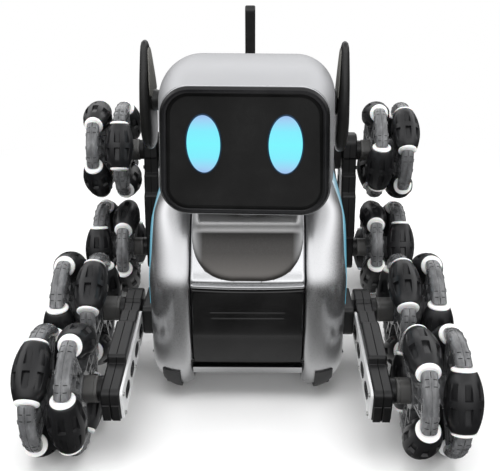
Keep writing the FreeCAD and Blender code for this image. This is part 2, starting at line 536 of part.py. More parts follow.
def head():
    out = head_loft(0.0)
    inn = head_loft(2.6, y_first=-96.5)
    shell = out.cut(inn)
    ty, tz = NECK_Y, TILT_Z
    # bosses for the tilt shaft and for the ear shafts
    for sg in (-1, 1):
        a, b = (50.0, 66.5) if sg > 0 else (-66.5, -50.0)
        boss = cylx(a, b, ty, tz, 8.5).common(out)
        shell = shell.fuse(boss)
        a, b = (52.0, 66.0) if sg > 0 else (-66.0, -52.0)
        boss = cylx(a, b, EAR_PIVOT[0], EAR_PIVOT[1], 7.5).common(out)
        shell = shell.fuse(boss)
    shell = shell.cut(cylx(-57.5, 57.5, ty, tz, 4.0 + RUN_CLEAR))
    shell = shell.cut(cylx(-90, 90, EAR_PIVOT[0], EAR_PIVOT[1], 3.0 + RUN_CLEAR))
    # opening under the head for the neck post
    shell = shell.cut(prism_z(rect(-17, 17, ty - 24, ty + 24), 6, 170, 190))
    shell = one(shell)
    # bezel: black frame with a soft bevel, closed at the back, holding the glass
    pts, r = face_outline(0)
    bez = prism_y(pts, r, HEAD_FRONT, -95.5)
    w0 = rounded_wire(*face_outline(1.6), place=lambda a, b: V(a, HEAD_FRONT - 1.6, b))
    w1 = rounded_wire(*face_outline(0), place=lambda a, b: V(a, HEAD_FRONT, b))
    bez = bez.fuse(Part.makeLoft([w0, w1], True, True)).removeSplitter()
    pi, ri = face_outline(2.8)
    back = prism_y(pi, ri, -95.5, -90.0)
    bez = bez.fuse(back)
    pg, rg = face_outline(4.6)
    bez = bez.cut(prism_y(pg, rg, HEAD_FRONT - 5, -94.0))
    pc, rc = face_outline(8.0)
    bez = bez.cut(prism_y(pc, rc, -95, -80.0))
    bez = one(bez.removeSplitter())
    shell = one(shell.cut(bez))
    pg, rg = face_outline(4.75)
    glass = prism_y(pg, rg, HEAD_FRONT - 0.6, -94.0)
    eyes = []
    for sx in (-EYE_X, EYE_X):
        e = Part.Ellipse(V(0, 0, 0), EYE_H / 2, EYE_W / 2).toShape()
        f = Part.Face(Part.Wire([e]))
        f.rotate(V(0, 0, 0), V(0, 0, 1), 90)      # long axis to Y
        f.rotate(V(0, 0, 0), V(1, 0, 0), 90)      # long axis to Z
        f.translate(V(sx, HEAD_FRONT - 0.75, EYE_Z))
        e3 = f.extrude(V(0, 0.55, 0))
        eyes.append(e3)
        glass = glass.cut(e3)
    glass = one(glass)
    # neck yoke: turntable, post and tilt shaft
    yoke = cylz(150, 178 - 2.4, 0, ty, 12.0).fuse(cylz(175.0 + GAP, 176.2, 0, ty, 16.0))
    yoke = yoke.fuse(prism_z(rect(-12, 12, ty - 9, ty + 9), 4, 175.6, tz + 3))
    yoke = yoke.fuse(cylx(-57.0, 57.0, ty, tz, 4.0)).fuse(cylx(-13, 13, ty, tz, 9.0))
    yoke = one(yoke.removeSplitter())
    # ears
    fin = [(-30, 203), (-10, 199.5), (2, 212), (5, 232), (-2, 258), (-16, 287), (-23, 291.5), (-27, 287), (-36, 262), (-41, 240), (-39, 218)]
    ear = prism_x(fin, [7, 7, 8, 20, 40, 4, 2.2, 4, 40, 20, 10], 73.5, 83.5)
    ear = ear.cut(turned(box(83.5, 110, -80, 60, 236, 330), (83.5, 0, 236), (0, 1, 0), -3.5))
    ear = one(ear)
    ear = fillet(ear, 1.8, lambda e: e.Length > 14)
    ear = ear.fuse(Part.makeCone(7.0, 11.0, 6.4, V(67.6, EAR_PIVOT[0], EAR_PIVOT[1]), V(1, 0, 0)))
    ear = ear.fuse(cylx(54.0, 70, EAR_PIVOT[0], EAR_PIVOT[1], 3.0))
    ear = one(ear.removeSplitter())
    c = (0, ty, 0)
    ax = (0, 0, 1)
    put("neck_yoke", turned(yoke, c, ax, HEAD_PAN))
    put("head_shell", turned(shell, c, ax, HEAD_PAN))
    put("screen_bezel", turned(bez, c, ax, HEAD_PAN))
    put("screen_glass", turned(glass, c, ax, HEAD_PAN))
    put("eye_displays", [turned(e, c, ax, HEAD_PAN) for e in eyes])
    put("ear_right", turned(ear, c, ax, HEAD_PAN))
    put("ear_left", turned(mirror_x(ear), c, ax, HEAD_PAN))


def tail(skin_out):
    ty, tz = TAIL_PIVOT
    fin = [(ty - 7, tz - 7), (ty + 7, tz - 7), (ty + 10, 225), (ty + 7, 258), (ty - 4, 290), (ty - 13, 298.5), (ty - 17, 293), (ty - 12, 262), (ty - 9, 228)]
    t = prism_x(fin, [6, 6, 20, 40, 20, 2.5, 6, 40, 30], -5, 5)
    t = fillet(t, 1.6, lambda e: e.Length > 10)
    t = t.cut(cyly(ty - 30, ty + 30, 0, tz, 3.0 + RUN_CLEAR))
    put("tail", one(t))
    # bracket: two cheeks fore and aft of the fin's root, a base on the back and the pivot pin
    b = None
    for y0, y1 in ((ty - 14, ty - 10.5), (ty + 10.5, ty + 14)):
        c = prism_y([(-9, 170), (9, 170), (8, tz + 8), (-8, tz + 8)], [0, 0, 7, 7], y0, y1)
        b = c if b is None else b.fuse(c)
    b = b.fuse(cyly(ty - 14, ty + 14, 0, tz, 3.0))
    b = b.cut(skin_out)
    b = b.fuse(prism_z(rect(-9, 9, ty - 14, ty + 14), 3, 178, 191.5).cut(skin_out))
    put("tail_bracket", one(b.removeSplitter()))


def electronics():
    bat = prism_x(rect(-62, 4, 88, 136), 4, -36, 36)
    bat = fillet(bat, 2.0, lambda e: e.Length > 30)
    put("battery_pack", bat)
    pcb = box(-42, 42, 20, 24.5, 88, 150)
    chips = [box(-14, 14, 24.5, 27.5, 110, 136), box(-38, -22, 24.5, 30.5, 92, 104), box(22, 38, 24.5, 30.5, 92, 104), box(-34, -24, 24.5, 33, 122, 140)]
    for c in chips:
        pcb = pcb.fuse(c)
    put("main_board", one(pcb))


for sd in (-1, 1):
    wheel(sd, "front", FRONT_BEAM_X)
    wheel(sd, "middle", FRONT_BEAM_X)
    wheel(sd, "rear", REAR_BEAM_X)
    wheel(sd, "upper", REAR_BEAM_X)
    leg(sd, "front")
    leg(sd, "rear")

skin_out, skin_in, back = torso()
foot_pads(skin_out)
for nm, s in hip_drives(skin_out):
    put(nm, [s, mirror_x(s)])
head()
tail(skin_out)
electronics()
ch = chassis(skin_in)
belly = NODES["belly_pan"][0]
for step in ((0, 0), (0, 0.3), (0.3, 0)):
    ch = ch.cut(moved(belly, y=step[0], z=step[1]))
put("chassis", one(ch.removeSplitter()))

for name, solids in NODES.items():
    shape = solids[0] if len(solids) == 1 else Part.makeCompound(solids)
    bad = [i for i, s in enumerate(solids) if not s.isValid()]
    print("%-32s solids %2d  vol %9.1f  %s" % (name, len(solids), sum(s.Volume for s in solids), "INVALID %s" % bad if bad else ""))
    shape.exportStep("parts/%s.step" % name)
allb = Part.makeCompound([s for v in NODES.values() for s in v]).BoundBox
print("nodes", len(NODES), "box", [round(q, 2) for q in (allb.XMin, allb.XMax, allb.YMin, allb.YMax, allb.ZMin, allb.ZMax)])
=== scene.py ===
import math
import bpy
import bmesh
from mathutils import Matrix, Vector
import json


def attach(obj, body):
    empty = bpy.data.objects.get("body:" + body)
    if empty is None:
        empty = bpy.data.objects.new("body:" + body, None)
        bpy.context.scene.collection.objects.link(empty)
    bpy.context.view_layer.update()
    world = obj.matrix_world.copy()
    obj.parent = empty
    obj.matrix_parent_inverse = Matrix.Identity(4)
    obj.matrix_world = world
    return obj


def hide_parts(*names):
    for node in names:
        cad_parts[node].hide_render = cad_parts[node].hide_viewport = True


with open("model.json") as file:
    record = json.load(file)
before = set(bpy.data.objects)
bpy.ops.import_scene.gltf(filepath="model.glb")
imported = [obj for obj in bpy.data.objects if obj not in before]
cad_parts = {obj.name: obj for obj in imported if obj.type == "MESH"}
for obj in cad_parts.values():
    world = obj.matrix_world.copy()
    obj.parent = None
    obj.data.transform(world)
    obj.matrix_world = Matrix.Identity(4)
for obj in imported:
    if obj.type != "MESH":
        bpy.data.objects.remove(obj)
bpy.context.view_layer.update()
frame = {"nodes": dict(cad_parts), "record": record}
MM = 0.001

# ------------------------------------------------------------------ materials
MATS = {}


class Nodes:
    """Small helper to wire a procedural material."""

    def __init__(self, name):
        self.m = bpy.data.materials.new(name)
        self.m.use_nodes = True
        self.t = self.m.node_tree
        for n in list(self.t.nodes):
            self.t.nodes.remove(n)
        self.out = self.t.nodes.new("ShaderNodeOutputMaterial")
        self.b = self.t.nodes.new("ShaderNodeBsdfPrincipled")
        self.t.links.new(self.b.outputs[0], self.out.inputs[0])
        self.co = self.t.nodes.new("ShaderNodeTexCoord")

    def set(self, **kw):
        for k, v in kw.items():
            self.b.inputs[k.replace("_", " ")].default_value = v
        return self

    def link(self, a, b):
        self.t.links.new(a, b)

    def noise(self, scale, detail=2.0, rough=0.5, stretch=None, src="Object"):
        n = self.t.nodes.new("ShaderNodeTexNoise")
        n.inputs["Scale"].default_value = scale
        n.inputs["Detail"].default_value = detail
        n.inputs["Roughness"].default_value = rough
        if stretch:
            mp = self.t.nodes.new("ShaderNodeMapping")
            mp.inputs["Scale"].default_value = stretch
            self.link(self.co.outputs[src], mp.inputs["Vector"])
            self.link(mp.outputs[0], n.inputs["Vector"])
        else:
            self.link(self.co.outputs[src], n.inputs["Vector"])
        return n.outputs["Fac"]

    def ramp(self, fac, stops):
        r = self.t.nodes.new("ShaderNodeValToRGB")
        el = r.color_ramp.elements
        while len(el) < len(stops):
            el.new(0.5)
        for e, (p, c) in zip(el, stops):
            e.position = p
            e.color = (c[0], c[1], c[2], 1.0) if isinstance(c, (tuple, list)) else (c, c, c, 1.0)
        self.link(fac, r.inputs[0])
        return r.outputs[0]

    def range(self, fac, a, b, lo=0.0, hi=1.0):
        r = self.t.nodes.new("ShaderNodeMapRange")
        r.inputs["From Min"].default_value = lo
        r.inputs["From Max"].default_value = hi
        r.inputs["To Min"].default_value = a
        r.inputs["To Max"].default_value = b
        self.link(fac, r.inputs["Value"])
        return r.outputs[0]

    def math(self, op, a, b=None):
        n = self.t.nodes.new("ShaderNodeMath")
        n.operation = op
        for i, v in enumerate((a, b)):
            if v is None:
                continue
            if isinstance(v, (int, float)):
                n.inputs[i].default_value = v
            else:
                self.link(v, n.inputs[i])
        return n.outputs[0]

    def mix(self, fac, a, b):
        n = self.t.nodes.new("ShaderNodeMix")
        n.data_type = "RGBA"
        if isinstance(fac, (int, float)):
            n.inputs[0].default_value = fac
        else:
            self.link(fac, n.inputs[0])
        for sock, v in ((n.inputs[6], a), (n.inputs[7], b)):
            if isinstance(v, (tuple, list)):
                sock.default_value = (v[0], v[1], v[2], 1.0)
            else:
                self.link(v, sock)
        return n.outputs[2]

    def bump(self, height, strength=0.3, dist=0.0001, prev=None):
        n = self.t.nodes.new("ShaderNodeBump")
        n.inputs["Strength"].default_value = strength
        n.inputs["Distance"].default_value = dist
        self.link(height, n.inputs["Height"])
        if prev is not None:
            self.link(prev, n.inputs["Normal"])
        return n.outputs[0]


def paint(name, base, dark, metallic, rough, coat=0.35, flake=0.10):
    """Metallic paint: fine flake, faint orange peel, slow drift in tone."""
    n = Nodes(name)
    fl = n.noise(2600.0, 1.0, 0.6)
    drift = n.noise(14.0, 2.0, 0.5)
    c = n.mix(n.range(drift, 0.0, 1.0, 0.35, 0.65), base, dark)
    c2 = n.mix(n.range(fl, 0.0, flake * 2, 0.45, 0.75), c, tuple(min(1.0, v * 1.6 + 0.08) for v in base))
    n.link(c2, n.b.inputs["Base Color"])
    r = n.math("ADD", n.range(fl, rough - 0.04, rough + 0.05, 0.3, 0.7), n.range(drift, -0.02, 0.03, 0.3, 0.7))
    n.link(r, n.b.inputs["Roughness"])
    peel = n.bump(n.noise(420.0, 1.0, 0.4), 0.05, 0.0002)
    n.link(n.bump(fl, 0.05, 0.00004, peel), n.b.inputs["Normal"])
    n.set(Metallic=metallic, Coat_Weight=coat, Coat_Roughness=0.12)
    return n.m


def plastic(name, base, rough, grain=0.10, grain_scale=2400.0, coat=0.0, spec=0.5, tint=0.25, coat_rough=0.08):
    """Moulded plastic: fine spark texture, small tone and gloss variation."""
    n = Nodes(name)
    g = n.noise(grain_scale, 2.0, 0.6)
    d = n.noise(35.0, 3.0, 0.55)
    hi = tuple(min(1.0, v * (1.0 + tint) + 0.004) for v in base)
    lo = tuple(v * (1.0 - tint) for v in base)
    n.link(n.mix(n.range(d, 0.0, 1.0, 0.3, 0.7), lo, hi), n.b.inputs["Base Color"])
    r = n.math("ADD", n.range(g, rough - 0.05, rough + 0.05, 0.3, 0.7), n.range(d, -0.03, 0.04, 0.3, 0.7))
    n.link(r, n.b.inputs["Roughness"])
    n.link(n.bump(g, grain, 0.00006), n.b.inputs["Normal"])
    n.set(Coat_Weight=coat, Coat_Roughness=coat_rough, Specular_IOR_Level=spec)
    return n.m


MATS["silver_shell"] = paint("silver_shell", (0.54, 0.543, 0.55), (0.51, 0.513, 0.52), 0.95, 0.29, 0.10, 0.05)
MATS["silver_head"] = paint("silver_head", (0.375, 0.378, 0.388), (0.365, 0.368, 0.378), 0.6, 0.42, 0.05, 0.04)
MATS["silver_bright"] = paint("silver_bright", (0.56, 0.565, 0.575), (0.50, 0.505, 0.515), 0.95, 0.22)
MATS["gunmetal"] = paint("gunmetal", (0.20, 0.192, 0.184), (0.17, 0.164, 0.157), 0.92, 0.27, 0.2)
MATS["door_black"] = plastic("door_black", (0.0030, 0.0029, 0.0030), 0.15, 0.05, spec=0.48)


def bib_satin():
    """Dark satin metal with painted light in its colour: a painted highlight band across the top fold, a paler painted
    highlight along the rim, painted shadow under the head at the very top, and lighter towards the bottom.
    """
    n = Nodes("bib_satin")
    sep = n.t.nodes.new("ShaderNodeSeparateXYZ")
    n.link(n.co.outputs["Object"], sep.inputs[0])
    z = n.range(sep.outputs["Z"], 0.0, 1.0, 0.110, 0.170)
    # painted light by height: lighter towards the bottom, dark over the middle, a painted highlight band (0.69-0.80)
    # across the top fold, then painted shadow under the head at the top
    base = n.ramp(z, [(0.0, (0.105, 0.099, 0.094)), (0.20, (0.10, 0.095, 0.09)), (0.42, (0.052, 0.050, 0.048)), (0.64, (0.040, 0.039, 0.038)),
                      (0.69, (0.46, 0.46, 0.46)), (0.80, (0.46, 0.46, 0.46)), (0.90, (0.20, 0.20, 0.20)), (1.0, (0.08, 0.08, 0.08))])
    ax = n.math("ABSOLUTE", sep.outputs["X"])
    # painted highlight: paler towards the rim
    c = n.mix(n.range(ax, 0.0, 1.0, 0.0355, 0.0425), base, (0.26, 0.262, 0.265))
    fl = n.noise(2600.0, 1.0, 0.6)
    n.link(n.mix(n.range(fl, 0.0, 0.25, 0.45, 0.75), c, (0.16, 0.155, 0.15)), n.b.inputs["Base Color"])
    n.link(n.range(fl, 0.30, 0.38, 0.3, 0.7), n.b.inputs["Roughness"])
    n.link(n.bump(fl, 0.05, 0.00004), n.b.inputs["Normal"])
    n.set(Metallic=0.9)
    return n.m


MATS["bib_satin"] = bib_satin()
# paler grey-beige colour for the sheet on the ear's inner face: a painted highlight
MATS["ear_lining"] = plastic("ear_lining", (0.14, 0.137, 0.125), 0.45, 0.12, spec=0.4)
MATS["bezel_gloss"] = plastic("bezel_gloss", (0.008, 0.008, 0.009), 0.13, 0.02, spec=0.75)
MATS["eye_rim_blue"] = plastic("eye_rim_blue", (0.006, 0.028, 0.06), 0.4, 0.05, spec=0.3)
MATS["seam_black"] = plastic("seam_black", (0.002, 0.002, 0.002), 0.7, 0.1, spec=0.1)
MATS["black_satin"] = plastic("black_satin", (0.0065, 0.0065, 0.0068), 0.34, 0.14, spec=0.38)
MATS["black_gloss"] = plastic("black_gloss", (0.005, 0.005, 0.0053), 0.20, 0.03, spec=0.45)
MATS["ear_black"] = plastic("ear_black", (0.0065, 0.0065, 0.0062), 0.32, 0.08, spec=0.45)
MATS["screen_black"] = plastic("screen_black", (0.0105, 0.0105, 0.0105), 0.22, 0.01, tint=0.05, spec=0.22)
MATS["roller_rubber"] = plastic("roller_rubber", (0.0062, 0.0063, 0.0070), 0.34, 0.18, 1900.0, spec=0.42)
MATS["pad_rubber"] = plastic("pad_rubber", (0.022, 0.022, 0.023), 0.62, 0.35, 1600.0)
MATS["chassis_grey"] = plastic("chassis_grey", (0.05, 0.05, 0.052), 0.55, 0.2)
MATS["battery_wrap"] = plastic("battery_wrap", (0.02, 0.045, 0.16), 0.35, 0.05)
MATS["board_green"] = plastic("board_green", (0.008, 0.09, 0.04), 0.4, 0.1)


def nylon():
    n = Nodes("white_nylon")
    g = n.noise(1500.0, 2.0, 0.5)
    d = n.noise(60.0, 2.0, 0.5)
    n.link(n.mix(n.range(d, 0.0, 1.0, 0.3, 0.7), (0.80, 0.80, 0.79), (0.88, 0.88, 0.875)), n.b.inputs["Base Color"])
    n.link(n.range(g, 0.42, 0.55, 0.3, 0.7), n.b.inputs["Roughness"])
    n.link(n.bump(g, 0.06, 0.00005), n.b.inputs["Normal"])
    n.set(Subsurface_Weight=0.15, Subsurface_Scale=0.002)
    return n.m


def smoke_clear():
    """Smoky clear polycarbonate with flow lines and small internal flaws."""
    n = Nodes("smoke_clear")
    fl = n.noise(240.0, 3.0, 0.6, (1.0, 0.35, 0.35))
    fine = n.noise(900.0, 2.0, 0.6)
    n.link(n.ramp(fl, [(0.30, (0.13, 0.132, 0.136)), (0.52, (0.20, 0.203, 0.21)), (0.70, (0.30, 0.305, 0.315))]), n.b.inputs["Base Color"])
    n.link(n.range(fl, 0.10, 0.26, 0.35, 0.65), n.b.inputs["Roughness"])
    n.link(n.bump(fl, 0.10, 0.0003, n.bump(fine, 0.06, 0.00008)), n.b.inputs["Normal"])
    n.set(Transmission_Weight=0.45, IOR=1.5, Specular_IOR_Level=0.6)
    return n.m


def brushed(name, base, rough=0.32, metal=0.95):
    n = Nodes(name)
    s = n.noise(700.0, 2.0, 0.6, (1.0, 1.0, 0.04))
    d = n.noise(30.0, 2.0, 0.5)
    n.link(n.mix(n.range(d, 0.0, 1.0, 0.3, 0.7), base, tuple(v * 0.86 for v in base)), n.b.inputs["Base Color"])
    n.link(n.range(s, rough - 0.08, rough + 0.1, 0.3, 0.7), n.b.inputs["Roughness"])
    n.link(n.bump(s, 0.12, 0.00005), n.b.inputs["Normal"])
    n.set(Metallic=metal)
    return n.m


def eye_light():
    """Lit oval: bright cyan middle, lilac towards top and bottom, dark blue edge."""
    n = Nodes("eye_light")
    sep = n.t.nodes.new("ShaderNodeSeparateXYZ")
    n.link(n.co.outputs["Generated"], sep.inputs[0])
    # generated z runs 0..1 over the height of the eyes
    v = n.math("ABSOLUTE", n.math("SUBTRACT", sep.outputs["Z"], 0.5))
    col = n.ramp(n.math("MULTIPLY", v, 2.0), [(0.0, (0.20, 0.93, 1.0)), (0.45, (0.22, 0.86, 1.0)), (0.8, (0.34, 0.66, 0.93)), (1.0, (0.36, 0.50, 0.82))])
    n.set(Base_Color=(0.02, 0.05, 0.06, 1.0), Roughness=0.2, Emission_Strength=0.92)
    n.link(col, n.b.inputs["Emission Color"])
    n.link(n.bump(n.noise(900.0, 1.0), 0.02, 0.00002), n.b.inputs["Normal"])
    return n.m


def strip_light():
    """Glowing light guide: saturated where it turns the corner, paler towards the front."""
    n = Nodes("strip_light")
    sep = n.t.nodes.new("ShaderNodeSeparateXYZ")
    n.link(n.co.outputs["Object"], sep.inputs[0])
    ax = n.math("ABSOLUTE", sep.outputs["X"])
    f = n.range(ax, 0.0, 1.0, 0.0680, 0.0800)
    n.link(n.ramp(f, [(0.0, (0.42, 0.48, 0.52)), (0.5, (0.26, 0.44, 0.54)), (1.0, (0.06, 0.33, 0.48))]), n.b.inputs["Emission Color"])
    n.link(n.ramp(f, [(0.0, (0.50, 0.51, 0.52)), (0.6, (0.32, 0.44, 0.49)), (1.0, (0.12, 0.36, 0.46))]), n.b.inputs["Base Color"])
    n.link(n.bump(n.noise(700.0, 1.0), 0.03, 0.00003), n.b.inputs["Normal"])
    n.set(Roughness=0.28, Metallic=0.4, Emission_Strength=0.38)
    return n.m


MATS["white_nylon"] = nylon()
MATS["smoke_clear"] = smoke_clear()
MATS["plate_alloy"] = brushed("plate_alloy", (0.74, 0.745, 0.75), 0.42, 0.25)
MATS["motor_steel"] = brushed("motor_steel", (0.50, 0.50, 0.49))
MATS["steel"] = brushed("steel", (0.55, 0.55, 0.54), 0.25)
MATS["eye_light"] = eye_light()
MATS["strip_light"] = strip_light()
MATS["hub_grey"] = plastic("hub_grey", (0.075, 0.074, 0.072), 0.38, 0.12)

SLOT_OF = {s["node"]: s["material_slot"] for s in frame["record"]["subparts"]}
for node, obj in frame["nodes"].items():
    m = MATS["silver_head"] if node == "head_shell" else MATS.get(SLOT_OF.get(node, ""), MATS["black_satin"])
    if not obj.material_slots:
        obj.data.materials.append(m)
    for s in obj.material_slots:
        s.material = m


# ------------------------------------------------------------------ mesh helpers
def finish_mesh(me, sharp=35.0):
    bm = bmesh.new()
    bm.from_mesh(me)
    bmesh.ops.recalc_face_normals(bm, faces=bm.faces)
    lim = math.radians(sharp)
    for f in bm.faces:
        f.smooth = True
    for e in bm.edges:
        e.smooth = not (len(e.link_faces) == 2 and e.calc_face_angle(0.0) > lim)
    bm.to_mesh(me)
    bm.free()
    return me


class Build:
    """Collects vertices and faces in millimetres."""

    def __init__(self):
        self.v, self.f = [], []

    def loft(self, rings, close_ring=True, cap_a=True, cap_b=True, loop=False):
        base = len(self.v)
        n = len(rings[0])
        for r in rings:
            self.v += [tuple(p) for p in r]
        m = len(rings)
        for i in range(m if loop else m - 1):
            j = (i + 1) % m
            for k in range(n if close_ring else n - 1):
                k2 = (k + 1) % n
                self.f.append((base + i * n + k, base + i * n + k2, base + j * n + k2, base + j * n + k))
        if cap_a and not loop:
            self.f.append(tuple(base + k for k in reversed(range(n))))
        if cap_b and not loop:
            self.f.append(tuple(base + (m - 1) * n + k for k in range(n)))
        return self

    def lathe(self, prof, centre, axis, seg=40, loop=False, start=0.0):
        """prof: (distance along axis, radius); centre on the axis; axis 'x', 'y' or 'z'."""
        rings = []
        for (t, r) in prof:
            ring = []
            for k in range(seg):
                a = start + 2 * math.pi * k / seg
                c, s = math.cos(a) * r, math.sin(a) * r
                if axis == "x":
                    p = (centre[0] + t, centre[1] + c, centre[2] + s)
                elif axis == "y":
                    p = (centre[0] + s, centre[1] + t, centre[2] + c)
                else:
                    p = (centre[0] + c, centre[1] + s, centre[2] + t)
                ring.append(p)
            rings.append(ring)
        return self.loft(rings, cap_a=not loop, cap_b=not loop, loop=loop)

    def moved(self, m, start):
        for i in range(start, len(self.v)):
            p = m @ Vector(self.v[i])
            self.v[i] = (p.x, p.y, p.z)

    def mesh(self, name, sharp=35.0):
        me = bpy.data.meshes.new(name)
        me.from_pydata([(x * MM, y * MM, z * MM) for x, y, z in self.v], [], self.f)
        me.update()
        return finish_mesh(me, sharp)


def piece(name, me, mat, body, matrix=None, replaces=()):
    if matrix is not None:
        me = me.copy()
        me.transform(matrix)
        if matrix.determinant() < 0:
            me.flip_normals()
    ob = bpy.data.objects.new(name, me)
    bpy.context.scene.collection.objects.link(ob)
    if not me.materials:
        me.materials.append(MATS[mat])
    if replaces:
        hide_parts(*replaces)
    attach(ob, body)
    return ob


# ------------------------------------------------------------------ wheels
R, RA, HALF = 50.0, 36.0, 21.5
ROW = 12.6
WHEEL_X = {"front": 141.0, "middle": 144.6, "rear": 142.6, "upper": 142.4}
AXLE = {"front": (-137.0, 50.0), "middle": (-32.55, 60.7), "rear": (121.5, 50.0), "upper": (137.0, 153.85)}
BEAM_X = {"front": 99.6, "middle": 99.6, "rear": 102.2, "upper": 102.2}
PHASE = {("front", -1): 53.0, ("front", 1): 23.9, ("middle", -1): -2.7, ("middle", 1): 2.4,
         ("rear", -1): 18.8, ("rear", 1): 28.0, ("upper", -1): -37.8, ("upper", 1): 48.8}


def roller_profile(t):
    return math.sqrt(R * R - t * t) - RA


def add_roller(b):
    """Barrel on the +Z side of the wheel, lying along Y, with two rings of moulded pockets."""
    ts_half = [0.0, 1.3, 2.5, 2.75, 3.3, 6.0, 9.0, 11.5, 13.6, 15.0, 17.0, 19.0, 20.4, 21.1, 21.45]
    ts = [-t for t in reversed(ts_half[1:])] + ts_half
    angs = []
    sector = [-22.5, -17.0, -12.0, -11.6, -10.2, -5.0, 0.0, 5.0, 10.2, 11.6, 12.0, 17.0]
    for k in range(8):
        angs += [(45.0 * k + a, abs(a)) for a in sector]
    floor = 11.45
    rings = []
    for t in ts:
        at = abs(t)
        base = roller_profile(t)
        if at > 20.9:
            base -= (0.16 if at < 21.3 else 0.5)
        ring = []
        for a, da in angs:
            r = base
            if 2.6 < at < 15.2:
                fl = min(base, floor + 0.02 * at)
                if da <= 10.3:
                    r = fl if at > 3.0 else base - 0.5 * (base - fl)
                elif da <= 11.7:
                    r = base - 0.12 * (base - fl)
            th = math.radians(a)
            ring.append((math.sin(th) * r, t, RA + math.cos(th) * r))
        rings.append(ring)
    ends = lambda t, r: [(math.sin(math.radians(a)) * r, t, RA + math.cos(math.radians(a)) * r) for a, _ in angs]
    rings = [ends(-21.5, 2.2)] + rings + [ends(21.5, 2.2)]
    b.loft(rings)


def add_cap(b, sg):
    """White end cap: rounded rim, dished face, raised ring round the stub."""
    prof = [(21.55, 1.0), (21.55, 8.6), (21.75, 9.0), (22.3, 9.15), (22.9, 9.0), (23.5, 8.4), (24.0, 7.4), (24.15, 6.4),
            (24.05, 5.6), (24.3, 5.2), (24.5, 4.6), (24.5, 2.1), (24.5, 1.0)]
    b.lathe([(sg * t, r) for t, r in prof], (0, 0, RA), "y", 36)


def turn_x(deg):
    return Matrix.Rotation(math.radians(deg), 3, "X")


def super_section(hx, hw, groove, n=28, p=2.7):
    pts = []
    for k in range(n):
        a = 2 * math.pi * (k + 0.5) / n
        c, s = math.cos(a), math.sin(a)
        x = math.copysign(abs(c) ** (2 / p), c) * hx
        w = math.copysign(abs(s) ** (2 / p), s) * hw
        pts.append([x, w])
    return pts


def add_fork(b, xc):
    """Curved bar between two caps, centred on +Z, with a raised parting line and moulded lugs; web down to the hub."""
    start = len(b.v)
    rho = 43.35
    rings = []
    # n even: two points sit either side of the crown
    steps = [-1.0, -0.985, -0.95, -0.9, -0.8, -0.7, -0.69, -0.60, -0.59, -0.4, -0.2, 0.0, 0.2, 0.4, 0.59, 0.60, 0.69, 0.7, 0.8, 0.9, 0.95, 0.985, 1.0]
    for s in steps:
        beta = math.radians(25.7) * s
        om = math.radians(60.0) * math.copysign(abs(s) ** 1.25, s)
        cy, cz = math.sin(beta) * rho, math.cos(beta) * rho
        k = 1.0
        if abs(s) > 0.99:
            k = 0.80
        elif abs(s) > 0.98:
            k = 0.92
        sec = super_section(6.15 * k, 5.75 * k, 0.0)
        ring = []
        for (x, w) in sec:
            if w > 5.0 * k and abs(x) < 0.9:
                w -= 0.0
            ring.append((xc + x, cy + math.sin(om) * w, cz + math.cos(om) * w))
        rings.append(ring)
    b.loft(rings)
    # raised parting line and four little lugs on the crown
    line = []
    for i in range(13):
        s = -0.86 + 1.72 * i / 12
        beta = math.radians(25.7) * s
        rr = 43.35 + 5.75
        line.append((math.sin(beta), math.cos(beta), rr - 0.15 * abs(s) ** 2))
    rings = []
    for (sy, cz, rr) in line:
        rings.append([(xc - 0.22, sy * (rr - 0.3), cz * (rr - 0.3)), (xc - 0.16, sy * (rr + 0.16), cz * (rr + 0.16)),
                      (xc + 0.16, sy * (rr + 0.16), cz * (rr + 0.16)), (xc + 0.22, sy * (rr - 0.3), cz * (rr - 0.3))])
    b.loft(rings)
    for s in (-0.5, 0.12, 0.62):
        for sx in (-1, 1):
            beta = math.radians(25.7) * s
            db = math.radians(2.1)
            rings = []
            for bb, kk in ((beta - db, 0.85), (beta - db * 0.8, 1.0), (beta + db * 0.8, 1.0), (beta + db, 0.85)):
                sy, cz = math.sin(bb), math.cos(bb)
                x0, x1 = xc + sx * 4.3, xc + sx * (4.3 + 1.9 * kk)
                r0, r1 = 42.0, 47.1 * (1 - 0.004 * (1 - kk))
                rings.append([(x0, sy * r0, cz * r0), (x1, sy * r0, cz * r0), (x1, sy * (r1 - 0.5), cz * (r1 - 0.5)), (x1 - sx * 0.5, sy * r1, cz * r1), (x0, sy * r1, cz * r1)])
            b.loft(rings)
    # web: two thin cheeks and a cross rib
    for x0, x1 in ((xc - 4.6, xc - 3.2), (xc + 3.2, xc + 4.6)):
        for sg in (-1, 1):
            poly = [(sg * 5.0, 12.0), (sg * 8.5, 12.0), (sg * 13.5, 38.2), (sg * 9.5, 39.6)]
            b.loft([[(x0, y, z) for y, z in poly], [(x1, y, z) for y, z in poly]])
    for sg in (-1, 1):
        poly = [(sg * 7.0, 12.0), (sg * 8.6, 12.0), (sg * 13.6, 38.6), (sg * 12.0, 39.0)]
        b.loft([[(xc - 5.2, y, z) for y, z in poly], [(xc + 5.2, y, z) for y, z in poly]])
    poly = [(-1.0, 12.0), (1.0, 12.0), (1.3, 38.6), (-1.3, 38.6)]
    b.loft([[(xc - 5.2, y, z) for y, z in poly], [(xc + 5.2, y, z) for y, z in poly]])
    poly = [(-10.4, 25.0), (10.4, 25.0), (10.8, 27.0), (-10.8, 27.0)]
    b.loft([[(xc - 4.9, y, z) for y, z in poly], [(xc + 4.9, y, z) for y, z in poly]])
    return start


